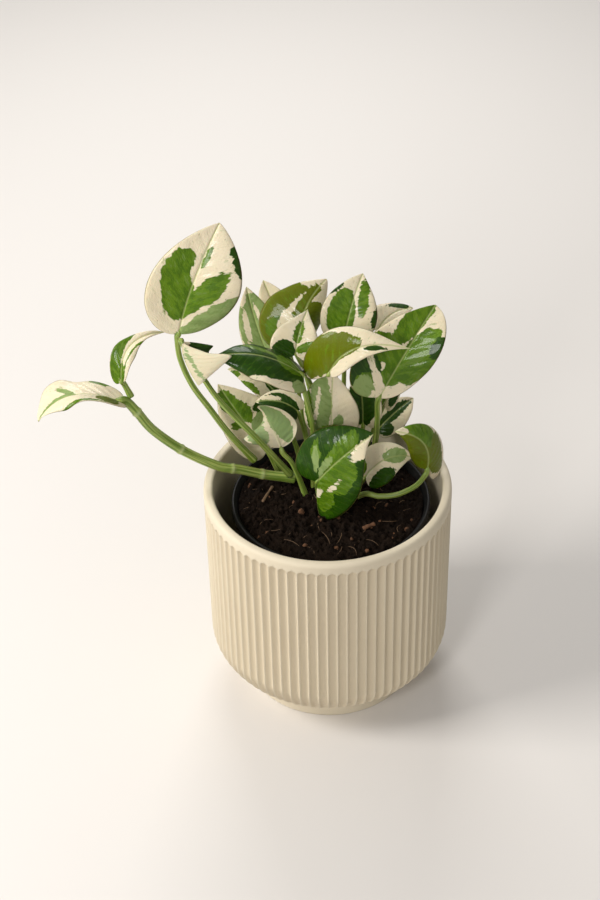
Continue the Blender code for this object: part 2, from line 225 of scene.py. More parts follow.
# %% Node helpers
def add(tree, kind, inputs=None, **settings):
    """A new node with its settings, and each input set to a value or joined to another node's output."""
    node = tree.nodes.new(kind)
    for key, value in settings.items():
        setattr(node, key, value)
    for key, value in (inputs or {}).items():
        if isinstance(value, bpy.types.NodeSocket):
            tree.links.new(value, node.inputs[key])
        else:
            node.inputs[key].default_value = value
    return node


def math_node(tree, operation, first, second=0.0):
    return add(tree, "ShaderNodeMath", {0: first, 1: second}, operation=operation).outputs[0]


def times(tree, first, second):
    return math_node(tree, "MULTIPLY", first, second)


def blend(tree, share, first, second):
    """The first colour where share is 0 and the second where it is 1."""
    node = add(tree, "ShaderNodeMix", {0: share, 6: first, 7: second}, data_type="RGBA")
    return node.outputs[2]


def noise(tree, where, scale, detail=2.0, roughness=0.5):
    inputs = {"Vector": where, "Scale": scale, "Detail": detail, "Roughness": roughness}
    return add(tree, "ShaderNodeTexNoise", inputs).outputs["Fac"]


def step(tree, value, low, high):
    """0 below low, 1 above high and a straight rise between them."""
    inputs = {"Value": value, "From Min": low, "From Max": high}
    return add(tree, "ShaderNodeMapRange", inputs).outputs["Result"]


def attribute(tree, name, output="Fac"):
    return add(tree, "ShaderNodeAttribute", attribute_name=name).outputs[output]


def object_place(tree):
    return add(tree, "ShaderNodeTexCoord").outputs["Object"]


def bump(tree, height, distance, strength=1.0):
    inputs = {"Height": height, "Distance": distance, "Strength": strength}
    return add(tree, "ShaderNodeBump", inputs).outputs["Normal"]


def finish(name, roughness, **settings):
    """A new material: its node tree, its Principled shader and itself."""
    made = bpy.data.materials.new(name)
    made.use_nodes = True
    shader = made.node_tree.nodes["Principled BSDF"]
    shader.inputs["Roughness"].default_value = roughness
    for key, value in settings.items():
        shader.inputs[key.replace("_", " ").title().replace("Ior", "IOR")].default_value = value
    return made, made.node_tree, shader


def feed(tree, shader, **sources):
    """Joins outputs to the shader's inputs of the same names."""
    for key, source in sources.items():
        tree.links.new(source, shader.inputs[key.replace("_", " ").title()])


def colour(red, green, blue):
    return (red, green, blue, 1.0)


def new_group(name, inputs, outputs):
    """A node group with its named sockets, and the two nodes that stand for its inputs and outputs."""
    group = bpy.data.node_groups.new(name, "ShaderNodeTree")
    for way, sockets in (("INPUT", inputs), ("OUTPUT", outputs)):
        for socket, kind in sockets.items():
            group.interface.new_socket(socket, in_out=way, socket_type="NodeSocket" + kind)
    return group, group.nodes.new("NodeGroupInput"), group.nodes.new("NodeGroupOutput")


FLOOR_HALF = 4.0
floor_finish, tree, shader = finish("pale_floor", 0.7)
shader.inputs["Base Color"].default_value = colour(0.75, 0.72, 0.69)
corners = [(x * FLOOR_HALF, y * FLOOR_HALF, 0) for x, y in ((-1, -1), (1, -1), (1, 1), (-1, 1))]
floor_mesh = bpy.data.meshes.new("floor")
floor_mesh.from_pydata(corners, [], [(0, 1, 2, 3)])
floor_mesh.materials.append(floor_finish)
floor = bpy.data.objects.new("floor", floor_mesh)
bpy.context.scene.collection.objects.link(floor)


# %% [markdown]
# ## The cover pot
#
# The real pot is slip-cast or pressed clay with a matt cream glaze. Its straight wall carries eighty
# round-ended flutes under a plain band, and the wall curves in to a low foot. A lathe shape with a
# Boolean for each flute would work, but one function is cleaner: a profile gives the radius and height,
# and at each angle the flute's depth is taken away. A flute is a long hollow with half-round ends, so its
# depth follows the distance from its middle line.

# %% The pot's profile
POT_RADIUS, POT_HEIGHT, RIM_INSIDE, LIP_ROUND = 62.5, 122.5, 57.7, 2.2
FOOT_RADIUS, FOOT_HEIGHT, POT_FLOOR = 45.0, 9.0, 7.0
BOWL_TOP, BOWL_TURN, BOWL_FOOT_RADIUS = 31.5, 21.3, 47.0
FLUTES, FLUTE_DEPTH, FLUTE_TOP, FLUTE_FOOT = 80, 1.9, 117.0, 6.0
FLUTE_SHARE = 0.44  # half a flute's width as a share of the pitch
FLUTE_COLUMNS = 12
INNER_WALL, INNER_BEND, INNER_FLOOR = (112, 33), (54, 17), 44  # heights, a corner and the floor's radius


def arc(middle, radius, start, stop, count):
    """Points (radius, height) on a circle between two angles in degrees."""
    turn = np.radians(np.linspace(start, stop, count))
    return np.column_stack([middle[0] + radius * np.cos(turn), middle[1] + radius * np.sin(turn)])


def line(first, last, count):
    """Evenly spaced points between two, without the last."""
    t = np.linspace(0, 1, count, endpoint=False)[:, None]
    return np.array(first) + t * (np.array(last, float) - np.array(first))


def bowl(count):
    """The quadratic curve from the foot up to the wall's lower end."""
    t = np.linspace(1, 0, count, endpoint=False)[:, None]
    corners = [(POT_RADIUS, BOWL_TOP), (POT_RADIUS, BOWL_TURN), (BOWL_FOOT_RADIUS, FOOT_HEIGHT)]
    start, turn, end = np.array(corners)
    return (1 - t) ** 2 * start + 2 * t * (1 - t) * turn + t**2 * end


outside = np.vstack([
    line((0, 0.6), (FOOT_RADIUS - 4, 0.6), 4), arc((FOOT_RADIUS - 2.4, 0.6), 0.6, 180, 270, 3),
    arc((FOOT_RADIUS - 1, 1), 1.0, 270, 360, 5),
    line((FOOT_RADIUS, 1.4), (FOOT_RADIUS, FOOT_HEIGHT - 1.6), 3),
    arc((FOOT_RADIUS + 1.4, FOOT_HEIGHT - 1.4), 1.4, 180, 105, 4), bowl(22),
    line((POT_RADIUS, BOWL_TOP), (POT_RADIUS, FLUTE_TOP - 5), 16),
    line((POT_RADIUS, FLUTE_TOP - 5), (POT_RADIUS, FLUTE_TOP + 0.3), 14),
    line((POT_RADIUS, FLUTE_TOP + 0.3), (POT_RADIUS, POT_HEIGHT - LIP_ROUND), 2),
])
inside = np.vstack([
    arc((POT_RADIUS - LIP_ROUND, POT_HEIGHT - LIP_ROUND), LIP_ROUND, 0, 90, 7),
    arc((RIM_INSIDE + 1.6, POT_HEIGHT - 1.6), 1.6, 90, 180, 6),
    line((RIM_INSIDE, INNER_WALL[0]), (RIM_INSIDE, INNER_WALL[1]), 3),
    line((RIM_INSIDE, INNER_WALL[1]), INNER_BEND, 3), line(INNER_BEND, (INNER_FLOOR, POT_FLOOR), 3),
    [(INNER_FLOOR, POT_FLOOR), (0, POT_FLOOR)],
])
profile = np.vstack([outside, inside])
print("pot profile has", len(profile), "points")


# %% The fluted surface
def flute_depth(run, radius, turn):
    """How deep the wall is cut: zero outside a flute, and a round hollow inside it.

    run is the distance up the wall from the foot, and turn the angle. The distance from the flute's middle
    line, or beyond its ends from the centre of its end round, is compared with half the flute's width. The
    depth is the flute's depth times the square root of one less that share squared.
    """
    pitch = 2 * math.pi * radius / FLUTES
    half = FLUTE_SHARE * pitch
    off = (turn * FLUTES / (2 * math.pi) % 1.0 - 0.5) * pitch
    low, high = FLUTE_FOOT + half, RUN_TOP - half
    beyond = np.maximum(low - run, 0) + np.maximum(run - high, 0)
    share = np.hypot(off, beyond) / half
    return FLUTE_DEPTH * np.sqrt(np.clip(1 - share**2, 0, 1)) * np.clip(half / 2.0, 0, 1)


run = np.concatenate([[0], np.cumsum(np.hypot(*np.diff(outside, axis=0).T))])
foot_row = int(np.argmax(outside[:, 0] > BOWL_FOOT_RADIUS - 0.3))
run -= run[foot_row]
RUN_TOP = float(np.interp(FLUTE_TOP, outside[foot_row:, 1], run[foot_row:]))
first_turn = -math.pi / 2  # a ridge faces the front
turns = first_turn + around(FLUTES * FLUTE_COLUMNS)
reach = np.repeat(profile[:, :1], len(turns), axis=1)
from_first = turns[None, :] - first_turn
slope = np.gradient(outside, axis=0)
normal = np.column_stack([slope[:, 1], -slope[:, 0]])
normal = unit(normal)
depth = flute_depth(run[:, None], np.maximum(outside[:, :1], 1.0), from_first)
depth[:foot_row] = 0
height = np.repeat(profile[:, 1:], len(turns), axis=1)
reach[:len(outside)] -= depth * normal[:, :1]
height[:len(outside)] -= depth * normal[:, 1:]
pot_points = np.stack([reach * np.cos(turns), reach * np.sin(turns), height], -1)
# How deep each point lies in a flute, as a share: it sets the painted shade in the glaze.
groove = np.zeros(reach.shape)
groove[:len(outside)] = depth / FLUTE_DEPTH
print("flutes end", round(RUN_TOP, 1), "mm up the wall")


# %% [markdown]
# ## The glaze
#
# The finish is a warm cream, matt and even, with the faint clouding that sprayed glaze has. The flutes'
# hollows carry painted shade, a darker cream that deepens with the hollow, and fine grain breaks the light.
# The clouding is a group, because the other finishes use it too.

# %% Clouding group and glaze
def make_clouds():
    """A node group: slow and fine noise added up, from 0 to 1, at a place and a scale."""
    inputs, outputs = {"Place": "Vector", "Scale": "Float"}, {"Slow": "Float", "Fine": "Float"}
    group, start, end = new_group("clouds", inputs, outputs)
    slow = noise(group, start.outputs["Place"], start.outputs["Scale"], 3.0)
    finer = times(group, start.outputs["Scale"], 12.0)
    fine = noise(group, start.outputs["Place"], finer, 4.0, 0.6)
    group.links.new(slow, end.inputs["Slow"])
    group.links.new(fine, end.inputs["Fine"])
    return group


CLOUDS = make_clouds()


def clouds(tree, scale, where=None):
    """The clouding group placed in a material."""
    node = add(tree, "ShaderNodeGroup", node_tree=CLOUDS)
    tree.links.new(where or object_place(tree), node.inputs["Place"])
    node.inputs["Scale"].default_value = scale
    return node.outputs["Slow"], node.outputs["Fine"]


glaze, tree, shader = finish("cream_glaze", 0.62)
slow, fine = clouds(tree, 30.0)
base = blend(tree, slow, colour(0.67, 0.585, 0.435), colour(0.74, 0.66, 0.505))
# Painted shade: the cream darkens towards the bottom of each flute.
base = blend(tree, times(tree, attribute(tree, "groove"), 0.5), base, colour(0.56, 0.465, 0.32))
speck = step(tree, fine, 0.70, 0.76)
base = blend(tree, times(tree, speck, 0.25), base, colour(0.45, 0.36, 0.24))
feed(tree, shader, base_color=base, normal=bump(tree, fine, 0.0002, 0.5))
pot_mesh = closed_mesh("fluted_pot", pot_points, values={"groove": groove})
place("fluted_pot", pot_mesh, [glaze], ["cover_pot"])
print("pot faces:", len(pot_mesh.polygons))


# %% [markdown]
# ## The nursery pot
#
# Plants are sold in thin black plastic pots, which stand inside the cover pot. Only the rolled rim and
# the dark gap show. It is a turned profile: up the outside, round the rim, down the inside and through
# the drain hole.

# %% Nursery pot
LINER_SHIFT, LINER_RIM, LINER_TOP = 1.5, 50.2, 112.6
LINER_BASE, LINER_BASE_RADIUS, LINER_WALL, DRAIN_RADIUS = 7.3, 38.0, 1.0, 7.0


def liner_inside(height):
    """The liner's inner radius, which grows evenly with height."""
    up = (height - LINER_BASE) / (LINER_TOP - LINER_BASE)
    return LINER_BASE_RADIUS - LINER_WALL + up * (LINER_RIM - LINER_BASE_RADIUS - 1.5)


under_rim = LINER_TOP - 5
liner_corner = (liner_inside(LINER_BASE + 1), LINER_BASE + LINER_WALL)
liner_profile = np.vstack([
    [(DRAIN_RADIUS, LINER_BASE)], arc((LINER_BASE_RADIUS - 1, LINER_BASE + 1), 1, 270, 360, 4),
    line((LINER_BASE_RADIUS, LINER_BASE + 2), (liner_inside(under_rim) + LINER_WALL, under_rim), 12),
    [(liner_inside(under_rim) + LINER_WALL, under_rim), (LINER_RIM - 0.4, under_rim + 0.2)],
    arc((LINER_RIM - 0.5, under_rim + 0.8), 0.5, 300, 360, 3),
    arc((LINER_RIM - 0.75, LINER_TOP - 0.75), 0.75, 0, 180, 9),
    line((liner_inside(LINER_TOP), LINER_TOP - 1.5), liner_corner, 12),
    [liner_corner, (DRAIN_RADIUS, LINER_BASE + LINER_WALL)],
    [(DRAIN_RADIUS, LINER_BASE)],
])
turns = around(160)
reach, height = liner_profile[:, :1], liner_profile[:, 1:]
liner_x, liner_y = reach * np.cos(turns) + LINER_SHIFT, reach * np.sin(turns)
liner_points = np.stack([liner_x, liner_y, height + 0 * turns], -1)
plastic, tree, shader = finish("black_plastic", 0.5, specular_ior_level=0.25)
slow, fine = clouds(tree, 60.0)
dusty = times(tree, step(tree, fine, 0.5, 0.8), 0.3)
feed(tree, shader, base_color=blend(tree, dusty, colour(0.006, 0.006, 0.006), colour(0.05, 0.037, 0.025)),
     roughness=step(tree, slow, -1.0, 1.6), normal=bump(tree, fine, 0.0002, 0.4))
liner_mesh = closed_mesh("nursery_liner", liner_points)
place("nursery_liner", liner_mesh, [plastic], ["nursery_pot"])


# %% [markdown]
# ## The soil
#
# Potting soil is a heap of crumbs of every size, with root threads and bits of bark in it. The heap
# itself is one closed surface whose top is lumpy at several scales, from big clods to grit. Loose crumbs,
# threads and chips are laid on it as many tiny closed shapes, because a bump alone would look like
# painted ground.

# %% Soil heap
SOIL_EDGE, SOIL_HEAP, SOIL_BASE = 107.5, 5.5, 8.6
GAP = 0.3


def soil_height(x, y):
    """The plain heap: highest in the middle, lowest at the edge, with low bumps."""
    out = np.hypot(x, y) / LINER_RIM
    bumps = np.sin(x * 0.31 + 1.0) * np.sin(y * 0.27) + 0.6 * np.sin(x * 0.17 - y * 0.23)
    return SOIL_EDGE + SOIL_HEAP * (1 - out**2) + 0.5 * bumps * (1 - out)


def crumbly(x, y):
    """The heap with its clods: waves of four sizes, the larger ones sharpened by folding them at zero."""
    clods = 2.2 * (0.5 - np.abs(waves(x, y, 10.0, 1))) + 1.9 * (0.5 - np.abs(waves(x, y, 4.6, 2)))
    grit = 1.0 * (0.5 - np.abs(waves(x, y, 2.2, 3))) + 0.4 * waves(x, y, 1.1, 4)
    return soil_height(x, y) + clods + grit


soil_reach = liner_inside(SOIL_EDGE) - GAP
out = np.concatenate([np.linspace(0, 1, 110) ** 0.8, [1, 1]])
turns = around(300)
x = soil_reach * out[:, None] * np.cos(turns)
y = soil_reach * out[:, None] * np.sin(turns)
z = crumbly(x, y)
narrowing = np.array([[(liner_inside(SOIL_BASE) - GAP) / soil_reach], [0]])
x[-2:] *= narrowing
y[-2:] *= narrowing
z[-2:] = SOIL_BASE
soil_mesh = closed_mesh("soil_heap", np.stack([x + LINER_SHIFT, y, z], -1))

earth, tree, shader = finish("dark_earth", 0.95, specular_ior_level=0.15)
slow, fine = clouds(tree, 220.0)
base = blend(tree, slow, colour(0.003, 0.0015, 0.001), colour(0.026, 0.014, 0.007))
base = blend(tree, step(tree, fine, 0.60, 0.78), base, colour(0.085, 0.050, 0.027))
feed(tree, shader, base_color=base, normal=bump(tree, fine, 0.0014, 1.0))
place("soil_heap", soil_mesh, [earth], ["soil"])


# %% Crumbs, threads and chips on the soil
def scattered(count, seed, spread=0.97):
    """Places spread evenly over the heap, relative to the liner's middle, with their heights."""
    random = np.random.default_rng(seed)
    far = soil_reach * spread * np.sqrt(random.uniform(0, 1, count))
    turn = random.uniform(0, 2 * math.pi, count)
    x, y = far * np.cos(turn), far * np.sin(turn)
    return np.stack([x + LINER_SHIFT, y, crumbly(x, y)], -1), random


def many(name, shapes):
    """One mesh of many closed shapes, from an array (shapes, rows, columns, 3), each a wrapping grid."""
    count, rows, columns = shapes.shape[:3]
    faces = grid_faces(rows, columns)[None] + (np.arange(count) * rows * columns)[:, None, None]
    mesh = bpy.data.meshes.new(name)
    mesh.from_pydata((shapes.reshape(-1, 3) * MM).tolist(), [], faces.reshape(-1, 4).tolist())
    work = bmesh.new()
    work.from_mesh(mesh)
    bmesh.ops.remove_doubles(work, verts=work.verts, dist=0.002 * MM)
    bmesh.ops.recalc_face_normals(work, faces=work.faces)
    work.to_mesh(mesh)
    work.free()
    return mesh


def pebbles(centres, sizes, random, rows=5, columns=6):
    """Small lumpy balls: points of a ball pushed in or out at random, then stretched and turned."""
    count = len(centres)
    lift = np.linspace(-math.pi / 2, math.pi / 2, rows)[None, :, None]
    turn = around(columns)[None, None, :]
    rough = 1 + random.uniform(-0.25, 0.25, (count, rows, columns))
    rough[:, 0], rough[:, -1] = 1, 1
    x, y, z = np.cos(lift) * np.cos(turn) * rough, np.cos(lift) * np.sin(turn) * rough, np.sin(lift) * rough
    ball = np.stack([x, y, z], -1)
    ball = ball * random.uniform(0.6, 1.2, (count, 1, 1, 3)) * sizes[:, None, None, None]
    spin = random.uniform(0, 2 * math.pi, count)[:, None, None]
    tip = random.uniform(-0.8, 0.8, count)[:, None, None]
    x, y, z = ball[..., 0], ball[..., 1], ball[..., 2]
    x, z = x * np.cos(tip) - z * np.sin(tip), x * np.sin(tip) + z * np.cos(tip)
    x, y = x * np.cos(spin) - y * np.sin(spin), x * np.sin(spin) + y * np.cos(spin)
    return np.stack([x, y, z], -1) + centres[:, None, None, :]


CRUMBS, BITS, ROOTS = 1500, 45, 60  # how many lie on the soil
centres, random = scattered(CRUMBS, 11)
crumbs = pebbles(centres, random.uniform(0.3, 1.3, len(centres)) ** 1.3, random)
place("soil_crumbs", many("soil_crumbs", crumbs), [earth])

bark, tree, shader = finish("rust_bark", 0.85)
slow, fine = clouds(tree, 300.0)
base = blend(tree, slow, colour(0.045, 0.018, 0.008), colour(0.20, 0.085, 0.032))
feed(tree, shader, base_color=base, normal=bump(tree, fine, 0.0004, 0.7))
centres, random = scattered(BITS, 12)
centres[:, 2] += 0.3
bits = pebbles(centres, random.uniform(0.6, 1.5, len(centres)), random)
place("bark_bits", many("bark_bits", bits), [bark])


def threads(centres, lengths, thick, random, steps=9, sides=4):
    """Thin curved threads: a bent line across each centre, with a small square carried along it."""
    count = len(centres)
    t = np.linspace(-1, 1, steps)[None, :]
    turn = random.uniform(0, math.pi, count)[:, None]
    bend = random.uniform(-0.6, 0.6, (count, 1))
    half = 0.5 * lengths[:, None]
    along, aside = half * t, half * bend * (1 - t**2)
    x = centres[:, :1] + along * np.cos(turn) - aside * np.sin(turn)
    y = centres[:, 1:2] + along * np.sin(turn) + aside * np.cos(turn)
    z = centres[:, 2:] + 0.25 * half * random.uniform(0.1, 1.0, (count, 1)) * (1 - t**2)
    taper = (thick * np.sqrt(np.clip(1 - t**4, 0, 1)))[..., None]
    edge = around(sides)
    dx, dy = -np.sin(turn)[..., None] * np.cos(edge), np.cos(turn)[..., None] * np.cos(edge)
    rings = [x[..., None] + taper * dx, y[..., None] + taper * dy, z[..., None] + taper * np.sin(edge)]
    return np.stack(rings, -1)


ROOT_RADIUS = 0.12
root_finish, tree, shader = finish("root_threads", 0.8)
slow = clouds(tree, 200.0)[0]
feed(tree, shader, base_color=blend(tree, slow, colour(0.07, 0.035, 0.018), colour(0.26, 0.16, 0.085)))
centres, random = scattered(ROOTS, 13, 0.9)
roots = threads(centres, random.uniform(3, 12, len(centres)), ROOT_RADIUS, random)
place("root_threads", many("root_threads", roots), [root_finish])


# %% [markdown]
# ## Stems
#
# A pothos climbs with a jointed vine: rings mark its joints, where leaves and short air roots grow. Each
# leaf hangs on a stalk that thickens where it leaves the vine and again just under the blade. A stem is a
# circle carried along a smooth curve through a few points, with a radius that changes on the way. The
# routes are the construction's own.

# %% Stem routes
# name: thickness at the foot and the end, and the points passed. A foot without a height stands on the
# soil.
STEMS = {
    "vine": (5.0, 4.6, [
        (-17, 10, 117), (-32, 8, 121), (-44, 6, 126), (-55, 4, 130), (-72, 4, 140), (-86, 4, 153),
        (-93, 4, 164), (-98, 5, 170),
    ]),
    "tall_left": (3.4, 2.6, [
        (-37, 11, 128), (-49, 10, 146), (-58, 10, 162), (-66, 11, 176), (-71, 13, 190), (-72, 15, 201),
    ]),
    "left_arching": (2.8, 2.4, [(-96, 8, 171), (-99, 9, 178)]),
    "left_hanging": (3.4, 2.4, [
        (-19, 8, 121), (-34, 1, 149), (-46, 2, 164), (-54, 3, 175), (-60, 4, 186), (-66, 5, 198),
        (-69, 5, 206),
    ]),
    "middle_left": (2.8, 2.4, [(-7, 10), (-8, 6, 137), (-7, 4, 153), (-9, 3, 168), (-12, 3, 184)]),
    "back_left": (2.6, 2.2, [(-14, 36), (-24, 46, 135), (-30, 55, 156)]),
    "back_tip": (2.4, 2.0, [(-10, 40), (-16, 54, 145), (-22, 66, 168)]),
    "upper_left": (2.6, 2.2, [(-2, 36), (-8, 35, 150), (-14, 34, 180)]),
    "centre_cream": (2.4, 2.0, [(-2, 28), (-4, 26, 150), (-14, 19, 186)]),
    "centre_olive": (2.6, 2.2, [(4, 22), (5, 20, 150), (4, 18, 178), (2, 8, 188)]),
    "upper_centre": (2.6, 2.2, [(6, 32), (8, 33, 150), (9, 31, 188)]),
    "upper_back": (2.6, 2.2, [(10, 41), (15, 36, 134), (24, 40, 152), (26, 48, 166), (26, 54, 174)]),
    "right_large": (3.2, 2.6, [(21, 16), (24, 14, 136), (25, 13, 152), (25, 13, 162)]),
    "centre_upright": (2.6, 2.2, [(3, 14), (2, 13, 130), (2, 11, 140)]),
    "lower_left": (2.8, 2.4, [(-24, 20), (-29, 21, 122)]),
    "front_left": (3.0, 2.4, [(-11, 3), (-17, 3, 131), (-22, 4, 138)]),
    "front": (2.6, 2.2, [(-4, 0), (-5, -7, 125), (-5, -10, 130)]),
    "small_left": (2.2, 1.8, [(-14, 30), (-20, 29, 138), (-25, 29, 154)]),
    "small_dark": (2.2, 1.8, [(-8, 20), (-11, 18, 136), (-14, 17, 152)]),
    "right_low": (2.4, 2.0, [(14, 8), (18, 6, 119)]),
    "right_drooping": (3.0, 2.4, [
        (12, 0), (19, -5, 119), (26, -8, 120), (35, -9, 122), (44, -6, 125), (49, -1, 128),
    ]),
    "back_right": (2.2, 1.8, [(18, 36), (24, 38, 128), (28, 40, 138)]),
    "low_back_right": (2.4, 2.0, [(23, 35), (26, 44, 119)]),
    "centre_dark": (2.4, 2.0, [(14, 26), (17, 26, 126), (18, 26, 137)]),
}
print(len(STEMS), "stems")


# %% Leaf rows
# base, bend, tip   the midrib, a quadratic curve
# face              the way the upper face looks
# half, fold, curl, full, lobe   left and right of the midrib: width, rise at the midrib in degrees,
#                   further turn in degrees, fullness towards base and tip, and reach back past the stalk
# wave              height of the margin's waves
# marks             patches of colour in order: finish, place across (-1 left margin to 1 right margin)
#                   and along (0 base to 1 tip), half width and half length in half-widths, and lean to
#                   the right in degrees
COMMON = dict(fold=(10, 10), curl=(0, 0), wave=0.6, full=((0.45, 0.96), (0.45, 0.96)), lobe=(0.34, 0.34))


def leaf_row(**row):
    """A leaf's row, with what most leaves share filled in."""
    return {**COMMON, **row}
